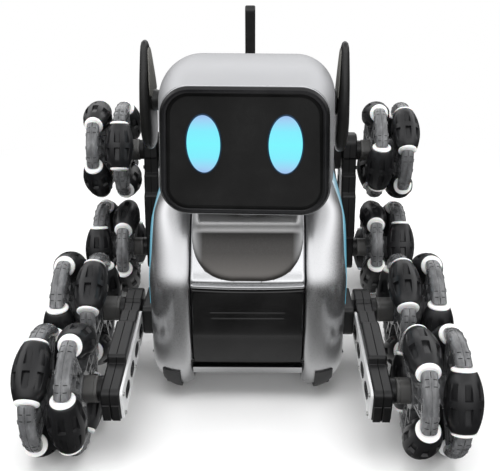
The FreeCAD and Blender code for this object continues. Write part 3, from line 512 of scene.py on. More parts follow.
def wheel_meshes():
    roll, caps, fr = Build(), Build(), Build()
    for xr, off in ((ROW, 0.0), (-ROW, 60.0)):
        for k in range(3):
            m = Matrix.Translation(Vector((xr, 0, 0))) @ turn_x(off + 120 * k).to_4x4()
            s = len(roll.v)
            add_roller(roll)
            roll.moved(m, s)
            s = len(caps.v)
            add_cap(caps, 1)
            add_cap(caps, -1)
            caps.moved(m, s)
            s = len(fr.v)
            add_fork(fr, 0.0)
            fr.moved(Matrix.Translation(Vector((xr, 0, 0))) @ turn_x(off + 60 + 120 * k).to_4x4(), s)
        # hub of this row: rim, web disc, inner boss
        fr.lathe([(xr - 6.1, 9.0), (xr - 6.1, 13.4), (xr - 5.6, 14.0), (xr + 5.6, 14.0), (xr + 6.1, 13.4), (xr + 6.1, 9.0)], (0, 0, 0), "x", 48, loop=True)
        fr.lathe([(xr - 1.2, 5.0), (xr - 1.2, 9.4), (xr + 1.2, 9.4), (xr + 1.2, 5.0)], (0, 0, 0), "x", 48, loop=True)
    fr.lathe([(-ROW + 6.0, 10.0), (-ROW + 6.0, 12.6), (ROW - 6.0, 12.6), (ROW - 6.0, 10.0)], (0, 0, 0), "x", 48, loop=True)
    return roll.mesh("omni_rollers", 30.0), caps.mesh("omni_caps", 40.0), fr.mesh("omni_frame", 32.0)


def squircle(hx, p, n=48, flat=0.0):
    pts = []
    for k in range(n):
        a = 2 * math.pi * k / n
        c, s = math.cos(a), math.sin(a)
        pts.append((math.copysign(abs(c) ** (2 / p), c) * hx, math.copysign(abs(s) ** (2 / p), s) * hx))
    return pts


def hub_mesh(mid, beam_x):
    """Squarish drive hub from the leg's axle boss into the wheel, with an outer hub cap and a core tube."""
    b = Build()
    x0 = beam_x + 7.25 + 4.8 - mid          # just outboard of the leg's boss
    x1 = -ROW - 5.9
    def ring(x, h, p):
        return [(x, y, z) for y, z in squircle(h, p)]
    b.loft([ring(x0, 8.6, 3.4), ring(x0 + 0.5, 9.4, 3.4), ring(x0 + 2.2, 9.5, 3.4), ring(x0 + 2.3, 9.0, 3.4), ring(x0 + 2.9, 9.0, 3.4), ring(x0 + 3.0, 9.5, 3.4),
            ring(x1 - 0.6, 9.5, 3.4), ring(x1, 9.0, 3.2), ring(x1 + 6.0, 8.4, 3.0), ring(x1 + 6.2, 4.9, 2.4)])
    # outer hub cap with a stepped face
    b.lathe([(ROW - 2.0, 4.0), (ROW - 2.0, 8.9), (ROW + 5.0, 8.9), (ROW + 5.6, 8.5), (ROW + 5.6, 6.4), (ROW + 4.9, 6.2), (ROW + 4.9, 2.0)], (0, 0, 0), "x", 40)
    # core tube through the wheel
    b.lathe([(x1, 5.2), (ROW, 5.2)], (0, 0, 0), "x", 32)
    return b.mesh("omni_hub", 30.0)


def screw_mesh():
    """Socket head screw on the outer hub face, three small ones round it."""
    b = Build()
    def screw(cy, cz, r, x, h):
        hexr = r * 0.52
        seg = 24
        outer = [(x, 0.0)]
        prof = [(x, r * 0.98), (x + h * 0.8, r), (x + h, r * 0.86)]
        b.lathe([(t, rr) for t, rr in prof], (0, cy, cz), "x", seg)
        # hexagon recess shown as a raised rim
        rings = []
        for t, rr in ((x + h, hexr * 1.12), (x + h + 0.12, hexr * 1.1), (x + h + 0.12, hexr), (x + h - 0.02, hexr * 0.98)):
            rings.append([(t, cy + math.cos(math.pi / 3 * k) * rr, cz + math.sin(math.pi / 3 * k) * rr) for k in range(6)])
        b.loft(rings, cap_a=False, cap_b=False)
    screw(0, 0, 3.4, ROW + 4.9, 2.0)
    for k in range(3):
        a = math.radians(60 + 120 * k)
        screw(-math.sin(a) * 11.4, math.cos(a) * 11.4, 1.5, ROW + 5.9, 0.9)
    return b.mesh("omni_screws", 30.0)


def wheel_matrix(side, name):
    y, z = AXLE[name]
    m = Matrix.Translation(Vector((side * WHEEL_X[name], y, z)) * MM)
    m = m @ Matrix.Rotation(math.radians(90.0 - PHASE[(name, side)]), 4, "X")
    if side < 0:
        m = m @ Matrix.Rotation(math.pi, 4, "Z")
    return m


ME_ROLL, ME_CAPS, ME_FRAME = wheel_meshes()
ME_SCREW = screw_mesh()
for name in ("front", "middle", "rear", "upper"):
    hub = hub_mesh(WHEEL_X[name], BEAM_X[name])
    for side, lr in ((-1, "left"), (1, "right")):
        node = "wheel_%s_%s" % (name, lr)
        m = wheel_matrix(side, name)
        piece(node + "_barrels", ME_ROLL, "roller_rubber", node, m, (node + "_rollers",))
        piece(node + "_caps", ME_CAPS, "white_nylon", node, m, (node + "_end_caps",))
        piece(node + "_forks", ME_FRAME, "smoke_clear", node, m, (node + "_frame",))
        piece(node + "_hub", hub, "hub_grey", node, m)
        piece(node + "_screws", ME_SCREW, "steel", node, m)


# ------------------------------------------------------------------ torso
# station: y, half width, bottom z, top z
STATIONS = [(-88.0, 80.5, 40.0, 107.0), (-86.6, 80.5, 29.0, 113.0), (-82.0, 80.5, 18.5, 121.0), (-76.0, 80.5, 12.8, 131.0), (-66.0, 80.5, 8.6, 146.5),
            (-55.0, 80.5, 7.2, 159.0), (-40.0, 80.5, 7.2, 168.0), (-10.0, 80.6, 10.5, 172.0), (35.0, 80.6, 34.0, 178.0), (75.0, 80.5, 61.0, 190.0),
            (115.0, 80.0, 88.0, 197.0), (148.0, 76.0, 110.0, 193.0), (166.0, 69.0, 124.0, 184.0), (173.0, 64.0, 134.0, 176.0)]
COLUMN = 45.35


def eased(col, y):
    """Monotone cubic through one column of the stations."""
    xs = [s[0] for s in STATIONS]
    vs = [s[col] for s in STATIONS]
    n = len(xs)
    y = min(max(y, xs[0]), xs[-1])
    d = [(vs[i + 1] - vs[i]) / (xs[i + 1] - xs[i]) for i in range(n - 1)]
    m = [d[0]] + [0.0 if d[i - 1] * d[i] <= 0 else 2 * d[i - 1] * d[i] / (d[i - 1] + d[i]) for i in range(1, n - 1)] + [d[-1]]
    i = 0
    while i < n - 2 and y > xs[i + 1]:
        i += 1
    h = xs[i + 1] - xs[i]
    t = (y - xs[i]) / h
    return ((2 * t ** 3 - 3 * t * t + 1) * vs[i] + (t ** 3 - 2 * t * t + t) * h * m[i]
            + (-2 * t ** 3 + 3 * t * t) * vs[i + 1] + (t ** 3 - t * t) * h * m[i + 1])


def resample(pts, step, closed=True):
    seg = list(zip(pts, pts[1:] + ([pts[0]] if closed else [])))
    seg = [(a, b) for a, b in seg if (Vector(a) - Vector(b)).length > 1e-6]
    total = sum((Vector(b) - Vector(a)).length for a, b in seg)
    n = int(round(total / step))
    out, acc, k = [], 0.0, 0
    for (a, b) in seg:
        L = (Vector(b) - Vector(a)).length
        while k * total / n <= acc + L + 1e-9 and k < n:
            t = (k * total / n - acc) / L
            out.append((a[0] + (b[0] - a[0]) * t, a[1] + (b[1] - a[1]) * t))
            k += 1
        acc += L
    if not closed:
        out.append(pts[-1])
    return out


def torso_outline():
    ys = [-87.9, -87.75, -87.5, -87.2, -86.9, -86.6, -85.8, -84.8, -83.6, -82.0, -80.0, -78.0, -76.0, -73.0, -70.0, -66.0, -62.0, -58.0, -54.0, -48.0, -40.0, -30.0]
    ys += [float(v) for v in range(-20, 148, 6)] + [150.0, 155.0, 160.0, 164.0, 167.0, 169.5, 171.5, 172.6]
    pts = [(-88.0, z) for z in (44.0, 52.0, 60.0, 70.0, 80.0, 90.0, 100.0, 104.0)]
    pts += [(y, eased(3, y)) for y in ys]
    pts += [(173.0, z) for z in (170.0, 162.0, 154.0, 146.0, 139.0)]
    pts += [(y, eased(2, y)) for y in reversed(ys)]
    pts = resample(pts, 3.4)
    for _ in range(5):
        pts = [((a[0] + 2 * b[0] + c[0]) / 4, (a[1] + 2 * b[1] + c[1]) / 4) for a, b, c in zip(pts[-1:] + pts[:-1], pts, pts[1:] + pts[:1])]
    return pts


def side_shell():
    """Right-hand side shell as an open skin: a rail that rounds over on both edges and runs into the flat flank."""
    loop = torso_outline()
    n = len(loop)
    nor = []
    for i in range(n):
        a, b = loop[(i - 2) % n], loop[(i + 2) % n]
        t = Vector((b[0] - a[0], b[1] - a[1])).normalized()
        nor.append((t.y, -t.x))            # loop runs up the front: inward is +y there
    bm = bmesh.new()
    grid = []
    for i, (y, z) in enumerate(loop):
        ny, nz = nor[i]
        X = eased(1, y)
        b = 26.0 if y < 95 else max(17.0, 26.0 - (y - 95) * 9.0 / 60.0)
        row = []
        for ph in (90, 78, 66, 54, 42, 30, 18, 8, 0):
            p = math.radians(ph)
            row.append((COLUMN + 7.6 * (1 - math.sin(p)), 4.6 * (1 - math.cos(p))))
        row[0] = (COLUMN, 5.4)
        for th in (0, 6, 12, 18, 24, 30, 36, 42, 48, 54, 60, 66, 72, 78, 84, 90):
            p = math.radians(th)
            if th:
                row.append((COLUMN + 9.6 + (X - COLUMN - 9.6) * math.sin(p), b * (1 - math.cos(p))))
        pts = [(x, y + ny * d, z + nz * d) for x, d in row]
        # flank: straight in to the middle line
        qx, qy, qz = pts[-1]
        my = min(max(y, -42.0), 132.0)
        mz = (eased(2, my) + eased(3, my)) / 2
        for t in (0.08, 0.22, 0.45, 0.72, 1.0):
            pts.append((qx + 0.5 * math.sin(t * math.pi / 2) * (1.0 if y < 120 else 0.3), qy + (my - qy) * t, qz + (mz - qz) * t))
        grid.append([bm.verts.new((a * MM, b2 * MM, c * MM)) for a, b2, c in pts])
    for i in range(n):
        j = (i + 1) % n
        for k in range(len(grid[0]) - 1):
            bm.faces.new((grid[i][k], grid[j][k], grid[j][k + 1], grid[i][k + 1]))
    bmesh.ops.remove_doubles(bm, verts=bm.verts, dist=0.00025)
    bmesh.ops.dissolve_degenerate(bm, edges=bm.edges, dist=0.00005)
    # the middle line has stepped widths where the flank narrows; turn the faces outward
    bmesh.ops.recalc_face_normals(bm, faces=bm.faces)
    best = max(bm.faces, key=lambda f: f.calc_center_median().x)
    if best.normal.x < 0:
        bmesh.ops.reverse_faces(bm, faces=bm.faces)
    return bm


def mesh_from(bm, name, mirror=False, sharp=38.0):
    b = bm.copy()
    if mirror:
        for v in b.verts:
            v.co.x = -v.co.x
        bmesh.ops.reverse_faces(b, faces=b.faces)
    lim = math.radians(sharp)
    for f in b.faces:
        f.smooth = True
    for e in b.edges:
        e.smooth = not (len(e.link_faces) == 2 and e.calc_face_angle(0.0) > lim)
    me = bpy.data.meshes.new(name)
    b.to_mesh(me)
    b.free()
    return me


SHELL = side_shell()
from mathutils.bvhtree import BVHTree
SHELL_TREE = BVHTree.FromBMesh(SHELL)
for side, lr in ((-1, "left"), (1, "right")):
    ob = piece("side_shell_" + lr, mesh_from(SHELL, "side_shell_" + lr, side < 0, 50.0), "silver_shell", "torso", None, ("torso_shell_" + lr,))
    so = ob.modifiers.new("wall", "SOLIDIFY")
    so.thickness = 0.0018
    so.offset = -1.0


def smooth_path(pts, step=3.0, rounds=8):
    out = resample(pts, step, closed=False)
    for _ in range(rounds):
        out = [out[0]] + [((a[0] + 2 * b[0] + c[0]) / 4, (a[1] + 2 * b[1] + c[1]) / 4) for a, b, c in zip(out, out[1:], out[2:])] + [out[-1]]
    return out


def light_strip(side):
    """Light guide laid in the edge of the flank, from the front corner up and back to the shoulder."""
    outer = smooth_path([(-69.0, 84.0), (-68.0, 102.0), (-62.5, 128.0), (-47.0, 150.5), (-6.0, 164.5), (50.0, 178.5), (112.0, 186.0)])
    inner = smooth_path([(-60.0, 84.0), (-56.5, 100.0), (-49.5, 124.0), (-33.0, 144.5), (7.0, 157.5), (56.0, 171.0), (112.0, 179.0)])
    m = min(len(outer), len(inner))
    rows = []
    for i in range(m):
        a = outer[int(round(i * (len(outer) - 1) / (m - 1)))]
        b = inner[int(round(i * (len(inner) - 1) / (m - 1)))]
        taper = min(1.0, 0.12 + i / 14.0)
        mid = ((a[0] + b[0]) / 2, (a[1] + b[1]) / 2)
        row = []
        for t in (0.0, 0.14, 0.35, 0.65, 0.86, 1.0):
            y = mid[0] + (a[0] - mid[0]) * taper + ((b[0] - a[0]) * taper) * t
            z = mid[1] + (a[1] - mid[1]) * taper + ((b[1] - a[1]) * taper) * t
            hit = SHELL_TREE.ray_cast(Vector((0.2, y * MM, z * MM)), Vector((-1, 0, 0)))
            if hit[0] is None:
                row.append(None)
                continue
            nx = hit[1]
            if nx.x < 0:
                nx = -nx
            lift = 0.00045 if 0 < t < 1 else -0.0006
            p = hit[0] + nx * lift
            row.append((side * p.x, p.y, p.z))
        if all(r is not None for r in row):
            rows.append(row)
    bm = bmesh.new()
    vs = [[bm.verts.new(p) for p in r] for r in rows]
    back = [[bm.verts.new((p[0] - side * 0.002, p[1], p[2])) for p in (r[0], r[-1])] for r in rows]
    for i in range(len(vs) - 1):
        for k in range(5):
            bm.faces.new((vs[i][k], vs[i + 1][k], vs[i + 1][k + 1], vs[i][k + 1]))
        bm.faces.new((vs[i][0], back[i][0], back[i + 1][0], vs[i + 1][0]))
        bm.faces.new((vs[i][5], vs[i + 1][5], back[i + 1][1], back[i][1]))
        bm.faces.new((back[i][0], back[i][1], back[i + 1][1], back[i + 1][0]))
    for i in (0, len(vs) - 1):
        bm.faces.new(vs[i] + [back[i][1], back[i][0]])
    bmesh.ops.recalc_face_normals(bm, faces=bm.faces)
    me = mesh_from(bm, "light_strip", False, 60.0)
    bm.free()
    return me


piece("light_strip_left", light_strip(-1), "strip_light", "torso", None, ("side_light_strips",))
piece("light_strip_right", light_strip(1), "strip_light", "torso")


# ---- chest: the path runs up the front of the column, x across
def chest_path():
    """(s, y, z, ny, nz): outline of the column above the door, with outward normals."""
    ys = [-88.0, -87.9, -87.75, -87.5, -87.2, -86.9, -86.6, -85.8, -84.8, -83.6, -82.0, -80.0, -78.0, -76.0, -73.0, -70.0, -66.0, -62.0, -58.0, -54.0, -50.0, -46.0, -42.0]
    pts = [(y, eased(3, y)) for y in ys]
    pts = resample(pts, 1.2, closed=False)
    for _ in range(6):
        pts = [pts[0]] + [((a[0] + 2 * b[0] + c[0]) / 4, (a[1] + 2 * b[1] + c[1]) / 4) for a, b, c in zip(pts, pts[1:], pts[2:])] + [pts[-1]]
    out, s = [], 0.0
    for i, p in enumerate(pts):
        if i:
            s += math.hypot(p[0] - pts[i - 1][0], p[1] - pts[i - 1][1])
        a, b = pts[max(0, i - 2)], pts[min(len(pts) - 1, i + 2)]
        L = math.hypot(b[0] - a[0], b[1] - a[1])
        out.append((s, p[0], p[1], -(b[1] - a[1]) / L, (b[0] - a[0]) / L))
    return out


CP = chest_path()


def on_chest(x, s, h, crown=0.0):
    i = 0
    while i < len(CP) - 2 and CP[i + 1][0] < s:
        i += 1
    a, b = CP[i], CP[i + 1]
    t = (s - a[0]) / (b[0] - a[0])
    y, z = a[1] + (b[1] - a[1]) * t, a[2] + (b[2] - a[2]) * t
    ny, nz = a[3] + (b[3] - a[3]) * t, a[4] + (b[4] - a[4]) * t
    h2 = h + crown * (1 - (x / 45.0) ** 2)
    return (x * MM, (y + ny * h2) * MM, (z + nz * h2) * MM)


def s_at(z):
    for a, b in zip(CP, CP[1:]):
        if a[2] <= z <= b[2]:
            return a[0] + (b[0] - a[0]) * (z - a[2]) / (b[2] - a[2])
    return CP[-1][0] if z > CP[-1][2] else 0.0


def grid_piece(name, us, vs, fn, thick, mat, body, replaces=(), sharp=38.0):
    bm = bmesh.new()
    g = [[bm.verts.new(fn(u, v)) for u in us] for v in vs]
    for i in range(len(vs) - 1):
        for k in range(len(us) - 1):
            bm.faces.new((g[i][k], g[i][k + 1], g[i + 1][k + 1], g[i + 1][k]))
    bmesh.ops.recalc_face_normals(bm, faces=bm.faces)
    c = max(bm.faces, key=lambda f: f.calc_area())
    if sum(f.normal.y for f in bm.faces) > 0:
        bmesh.ops.reverse_faces(bm, faces=bm.faces)
    me = mesh_from(bm, name, False, sharp)
    bm.free()
    ob = piece(name, me, mat, body, None, replaces)
    so = ob.modifiers.new("wall", "SOLIDIFY")
    so.thickness = thick
    so.offset = -1.0
    return ob


def frange(a, b, n):
    return [a + (b - a) * i / (n - 1) for i in range(n)]


S_END = CP[-1][0]
# chest frame: two steps above the door, then a plain skin; dished a little towards the bib's lower edge
S0 = s_at(108.2)


def frame_height(s):
    d = s - S0
    prof = [(0.0, -1.9), (0.25, -0.9), (0.8, -0.15), (1.6, 0.25), (2.6, 0.3), (3.2, 0.0), (3.6, -0.55), (4.0, -0.85), (4.6, -0.8), (5.2, -0.2), (6.0, 0.15), (7.4, 0.25), (10.0, 0.0), (14.0, -0.4), (24.0, -0.6), (500.0, -0.6)]
    for (a, ha), (b, hb) in zip(prof, prof[1:]):
        if a <= d <= b:
            return ha + (hb - ha) * (d - a) / (b - a)
    return prof[0][1]


def frame_point(x, s):
    edge = max(0.0, (abs(x) - 42.6) / 2.2)
    return on_chest(x, s + 1.4 * (x / 45.0) ** 2 * max(0.0, 1 - (s - S0) / 16.0), frame_height(s) - 1.0 * edge ** 2, 0.0)


grid_piece("chest_front", [-44.9, -44.6, -44.0, -43.2, -42.4] + frange(-40, 40, 21) + [42.4, 43.2, 44.0, 44.6, 44.9],
           [S0 + d for d in (0.0, 0.12, 0.25, 0.5, 0.8, 1.2, 1.6, 2.1, 2.6, 2.9, 3.2, 3.4, 3.6, 3.8, 4.0, 4.3, 4.6, 4.9, 5.2, 5.6, 6.0, 6.7, 7.4, 8.6, 10.0, 12.0, 14.0, 17.0, 20.0)] + frange(S0 + 24, S_END, 16),
           frame_point, 0.0016, "silver_bright", "torso", ("chest_frame",))

# bib
BIB = [(115.25, 11.0), (115.5, 14.5), (115.9, 17.5), (116.4, 20.2), (117.1, 22.9), (118.0, 25.6), (119.2, 28.4), (120.7, 31.1), (122.5, 33.7), (124.8, 36.2), (127.4, 38.4), (130.2, 40.2),
       (133.2, 41.7), (136.7, 42.9), (141.0, 43.8), (146.0, 44.3), (170.0, 44.3)]


def bib_half(z):
    for (a, ha), (b, hb) in zip(BIB, BIB[1:]):
        if a <= z <= b:
            return ha + (hb - ha) * (z - a) / (b - a)
    return BIB[0][1] if z < BIB[0][0] else BIB[-1][1]


SB0, SB1 = s_at(115.25), s_at(165.5)
bib_s = [SB0, SB0 + 0.15, SB0 + 0.4, SB0 + 0.8, SB0 + 1.4, SB0 + 2.1, SB0 + 3.0, SB0 + 4.0, SB0 + 5.2, SB0 + 6.5, SB0 + 8.0, SB0 + 9.6, SB0 + 11.4, SB0 + 13.4] + frange(SB0 + 15.5, SB1, 26)


def z_at(s):
    for a, b in zip(CP, CP[1:]):
        if a[0] <= s <= b[0]:
            return a[2] + (b[2] - a[2]) * (s - a[0]) / (b[0] - a[0])
    return CP[-1][2]


OUT = [(0.5 * k, SB0) for k in range(22)] + [(bib_half(z), s_at(z)) for z in frange(115.25, 118.0, 24) + frange(118.2, 146.0, 40) + frange(147.0, 165.5, 14)]


def bib_point(t, s):
    hw = bib_half(z_at(s))
    x = hw * t
    d = min([math.hypot(abs(x) - a, s - b) for a, b in OUT] + [s - SB0 if abs(x) <= 10.0 else 99.0])
    if d < 0.05:
        h = -1.2
    elif d < 5.5:
        q = 1 - d / 5.5
        h = 2.0 * math.sqrt(max(0.0, 1 - q * q)) - 0.1
    else:
        h = 1.9 + 0.5 * min(1.0, (d - 5.5) / 14.0) * 0.6
    # crease across the upper part, where the bib folds back to the neck
    zc = z_at(s)
    fold = 2.9 * min(1.0, max(0.0, (zc - 148.0) / 5.0)) ** 1.5 * (1.0 - 0.25 * min(1.0, max(0.0, (zc - 156.0) / 10.0)))
    return on_chest(x, s, h + fold * (1 if d > 5 else d / 5.0))


ts = [0.0, 0.10, 0.2, 0.3, 0.4, 0.5, 0.58, 0.66, 0.73, 0.79, 0.84, 0.88, 0.91, 0.935, 0.955, 0.97, 0.982, 0.991, 0.997, 1.0]
grid_piece("chest_pad", [-t for t in reversed(ts[1:])] + ts, bib_s, bib_point, 0.0012, "bib_satin", "torso", ("chest_bib",), 60.0)


# ---- door: curved cover with two raised bars and its hinge pins
def door_mesh():
    b = Build()
    rows = [(107.35, -84.9, 0.9), (107.3, -86.3, 0.5), (106.9, -87.1, 0.15), (106.0, -87.5, 0.0), (103.0, -87.75, 0), (99.0, -87.95, 0), (93.0, -88.1, 0), (86.0, -88.15, 0), (78.0, -88.1, 0), (71.0, -87.95, 0), (68.2, -87.85, 0), (67.2, -87.75, 0),
            (66.2, -87.55, 0), (62.0, -87.2, 0), (55.0, -86.6, 0), (48.0, -85.95, 0), (43.0, -85.4, 0), (40.2, -85.0, 0), (39.2, -84.6, 0.15), (38.7, -83.9, 0.5), (38.6, -82.8, 0.9)]
    rings = []
    for z, f, ins in rows:
        back = -82.4 if z > 45 else -81.8
        f = min(f, back - 0.5)
        w = 44.55 - ins
        c = 0.35
        xs = [w, w - 0.12, w - 0.5, w - 1.3, w - 3.0, w - 9.0, w - 20.0, w - 32.0]
        dy = [1.6, 0.85, 0.3, 0.06, 0.0, -0.12, -0.26, -0.33]
        right = [(x, f + d, z) for x, d in zip(xs, dy)]
        ring = [(w, back, z)] + right + [(0.0, f - c, z)] + [(-x, y, zz) for x, y, zz in reversed(right)] + [(-w, back, z)]
        rings.append(ring)
    for r, (z, f, ins) in zip(rings, rows):
        if z > 100:
            k = 1.35 * min(1.0, (z - 100.0) / 5.0)
            for q in range(len(r)):
                r[q] = (r[q][0], r[q][1], r[q][2] + k * (r[q][0] / 44.5) ** 2)
    b.loft(rings)
    # raised bars
    for z, hw in ((88.3, 31.2), (83.2, 30.4)):
        rr = []
        n = 30
        for i in range(n + 1):
            x = -hw + 2 * hw * i / n
            e = min(1.0, math.sqrt(max(0.0, 1 - (max(0.0, abs(x) - (hw - 0.9)) / 0.9) ** 2)))
            f = -88.35 + 0.4 * (x / 44.0) ** 2
            r = max(0.08, 0.85 * e)
            ring = []
            for k in range(10):
                a = 2 * math.pi * k / 10
                ring.append((x, f + 0.25 - math.cos(a) * 0.75 * max(0.15, e), z + math.sin(a) * r))
            rr.append(ring)
        b.loft(rr)
    # hinge pins
    b.lathe([(-47.4, 1.2), (-47.2, 1.9), (-44.6, 1.9), (-44.5, 0.9), (44.5, 0.9), (44.6, 1.9), (47.2, 1.9), (47.4, 1.2)], (0, -84.0, 41.2), "x", 20)
    return b.mesh("battery_door", 40.0)


piece("battery_door", door_mesh(), "door_black", "front_door", None, ("front_door",))


# ------------------------------------------------------------------ ears
def superellipse(cx, cy, a, b, p, n):
    out = []
    for k in range(n):
        t = 2 * math.pi * (k + 0.5) / n
        c, s = math.cos(t), math.sin(t)
        out.append((cx + math.copysign(abs(c) ** (2 / p), c) * a, cy + math.copysign(abs(s) ** (2 / p), s) * b))
    return out


def ear_mesh():
    """Right ear before the head's pan: a leaf-shaped paddle on a round shaft."""
    b = Build()
    # z, y front, y back, x inner, x outer
    rows = [(203.2, -22.0, -11.0, 77.6, 80.6), (204.0, -27.0, -7.6, 76.2, 82.6), (206.4, -31.0, -4.0, 75.2, 84.0), (211.0, -34.6, -0.6, 74.7, 85.0), (218.0, -37.6, 3.0, 74.5, 85.5), (228.0, -39.6, 5.0, 74.5, 85.6),
            (238.0, -40.2, 4.6, 74.6, 85.3), (248.0, -39.2, 1.6, 74.8, 84.9), (258.0, -37.0, -2.2, 75.1, 84.5), (267.0, -34.4, -6.0, 75.4, 84.0), (275.0, -31.8, -9.6, 75.7, 83.5), (282.0, -29.6, -13.0, 76.0, 83.0),
            (286.0, -28.2, -15.4, 76.4, 82.5), (288.8, -26.8, -17.6, 77.1, 81.7), (290.0, -25.2, -19.8, 78.2, 80.4)]
    rings = []
    n = 40
    for z, y0, y1, x0, x1 in rows:
        cy, cx = (y0 + y1) / 2, (x0 + x1) / 2
        a, hw = (x1 - x0) / 2, (y1 - y0) / 2
        ring = []
        for (px, py) in superellipse(0, 0, a, hw, 2.6, n):
            ring.append((cx + px, cy + py, z))
        rings.append(ring)
    b.loft(rings)
    b.lathe([(66.9, 3.0), (67.0, 9.4), (67.6, 10.2), (68.6, 10.4), (69.2, 9.6), (69.4, 7.2), (76.4, 9.4), (78.9, 9.4), (79.0, 2.0)], (0, -20.0, 243.0), "x", 40)
    return b


def ear_lining():
    """Paler sheet on the inner face of the paddle: a painted highlight along that face."""
    b = Build()
    rings = []
    for z, y0, y1, x0 in [(246.5, -24.0, -14.5, 74.9), (247.5, -30.0, -8.0, 74.8), (250.0, -34.6, -2.8, 74.8), (258.0, -34.6, -4.8, 75.1), (267.0, -32.2, -8.4, 75.4), (275.0, -29.9, -11.8, 75.7), (280.5, -28.0, -14.4, 75.95), (283.5, -26.4, -16.4, 76.2), (284.6, -24.4, -18.6, 76.4)]:
        cy, hw = (y0 + y1) / 2, (y1 - y0) / 2
        rings.append([(x0 + 0.30 + px, cy + py, z) for (px, py) in superellipse(0, 0, 0.75, hw, 3.5, 28)])
    b.loft(rings)
    return b


EAR_SHIFT = {-1: 1.6, 1: -6.0}


def ear_piece(side, lr):
    rot = Matrix.Translation(Vector((0, -45.0, 0)) * MM) @ Matrix.Rotation(math.radians(-2.0), 4, "Z") @ Matrix.Translation(Vector((0, 45.0, 0)) * MM)
    # the second entry is the paler sheet on the inner face, a painted highlight
    for name, b, mat, rep in (("ear_paddle_", ear_mesh(), "ear_black", ("ear_" + lr,)), ("ear_lining_", ear_lining(), "ear_lining", ())):
        me = b.mesh(name + lr, 42.0)
        for v in me.vertices:
            if v.co.x > 0.0742:
                v.co.x += EAR_SHIFT[side] * MM
            if side < 0:
                v.co.x = -v.co.x
        if side < 0:
            me.flip_normals()
        me.transform(rot)
        piece(name + lr, me, mat, "ear_" + lr, None, rep)


ear_piece(-1, "left")
ear_piece(1, "right")


# ------------------------------------------------------------------ leg details
LEG_AX = {"front": ("front", "middle", 99.6), "rear": ("rear", "upper", 102.2)}


def leg_matrix(side, which):
    a, bb, bx = LEG_AX[which]
    y0, z0 = AXLE[a]
    y1, z1 = AXLE[bb]
    ang = math.atan2(z1 - z0, y1 - y0)
    m = Matrix.Translation(Vector((bx, y0, z0)) * MM) @ Matrix.Rotation(ang, 4, "X")
    if side < 0:
        m = Matrix.Scale(-1, 4, Vector((1, 0, 0))) @ m
    return m


def leg_trim(side, which):
    """Gasket along the joint of the two halves."""
    hh = 13.5
    b = Build()
    # gasket: follows the outline of the beam a little proud of it
    path = [(-20.6, -12.0), (-20.6, 11.0), (-19.0, 13.4), (-16.6, 14.1), (12.8, 14.1), (14.6, 19.0), (17.5, 20.1), (57.5, 20.1), (60.4, 18.6), (62.8, 16.1), (79.8, 16.1), (82.8, 12.1), (96.8, 12.1), (98.8, 14.6), (112.0, 14.6), (118.0, 12.6), (121.6, 8.6), (123.1, 3.0), (123.1, -3.0)]
    pts = resample(path, 2.0, closed=False)
    rings = []
    for i, (u, w) in enumerate(pts):
        a, c = pts[max(0, i - 1)], pts[min(len(pts) - 1, i + 1)]
        L = math.hypot(c[0] - a[0], c[1] - a[1])
        nu, nw = -(c[1] - a[1]) / L, (c[0] - a[0]) / L
        rings.append([(-0.38, u + nu * -0.8, w + nw * -0.8), (-0.30, u + nu * 0.10, w + nw * 0.10), (0.30, u + nu * 0.10, w + nw * 0.10), (0.38, u + nu * -0.8, w + nw * -0.8)])
    b.loft(rings)
    return b.mesh("gasket", 40.0)


def plate_inserts():
    """Dark stop-plates showing in the slots of the side plate."""
    b = Build()
    hw = 7.25
    for u0, u1 in ((-8, 8), (16, 31), (40, 55), (64, 79)):
        cu, hl = (u0 + u1) / 2, (u1 - u0) / 2
        rings = []
        for x, g in ((-hw + 0.3, -0.4), (-hw - 1.9, -0.3), (-hw - 2.45, 0.5), (-hw - 2.6, 0.2), (-hw - 2.6, -0.9), (-hw - 1.7, -1.4), (-hw - 1.6, -2.4)):
            ring = []
            for k in range(28):
                t = 2 * math.pi * k / 28
                c, s = math.cos(t), math.sin(t)
                rr = 4.2 + g
                ring.append((x, cu + (hl - 4.2) * (1 if c > 0 else -1) + c * rr, s * rr))
            rings.append(ring)
        b.loft(rings)
    return b.mesh("slot_inserts", 40.0)


def end_cheek():
    """Cheek on the wheel end of the beam: a raised lower panel either side of the middle."""
    b = Build()
    for x0, x1 in ((-6.4, -0.7), (0.7, 6.4)):
        # lower raised panel on the end face
        rings = []
        for u, g in ((-20.2, 0.0), (-21.15, 0.0), (-21.5, 0.4)):
            rings.append([(x0 + g, u, -12.2 + g), (x1 - g, u, -12.2 + g), (x1 - g, u, 2.6 - g), (x0 + g, u, 2.6 - g)])
        b.loft(rings)
    return b.mesh("end_cheek", 30.0)


def leg_screws():
    b = Build()
    hw = 7.25
    for (u, w, r) in ((-15.5, 9.0, 1.7), (-15.5, -9.0, 1.7), (59.5, 0.0, 1.7), (36.0, -8.4, 1.7)):
        b.lathe([(-hw - 2.0, r * 1.0), (-hw - 2.7, r * 1.0), (-hw - 3.2, r * 0.75), (-hw - 3.2, r * 0.45), (-hw - 2.7, r * 0.4)], (0, u, w), "x", 20)
    # bolt heads on the outer face beside the bosses
    for (u, w) in ((18.0, 9.0), (18.0, -8.5), (88.0, 8.0), (88.0, -8.0)):
        b.lathe([(hw - 0.2, 2.0), (hw + 0.8, 2.0), (hw + 1.3, 1.6), (hw + 1.3, 0.9), (hw + 0.7, 0.8)], (0, u, w), "x", 20)
    return b.mesh("leg_screws", 40.0)


CHEEK, INSERT, LSCREW = end_cheek(), plate_inserts(), leg_screws()


def mirrored(me, m, side, name):
    c = me.copy()
    c.name = name
    c.transform(m)
    if side < 0:
        c.flip_normals()
    return c


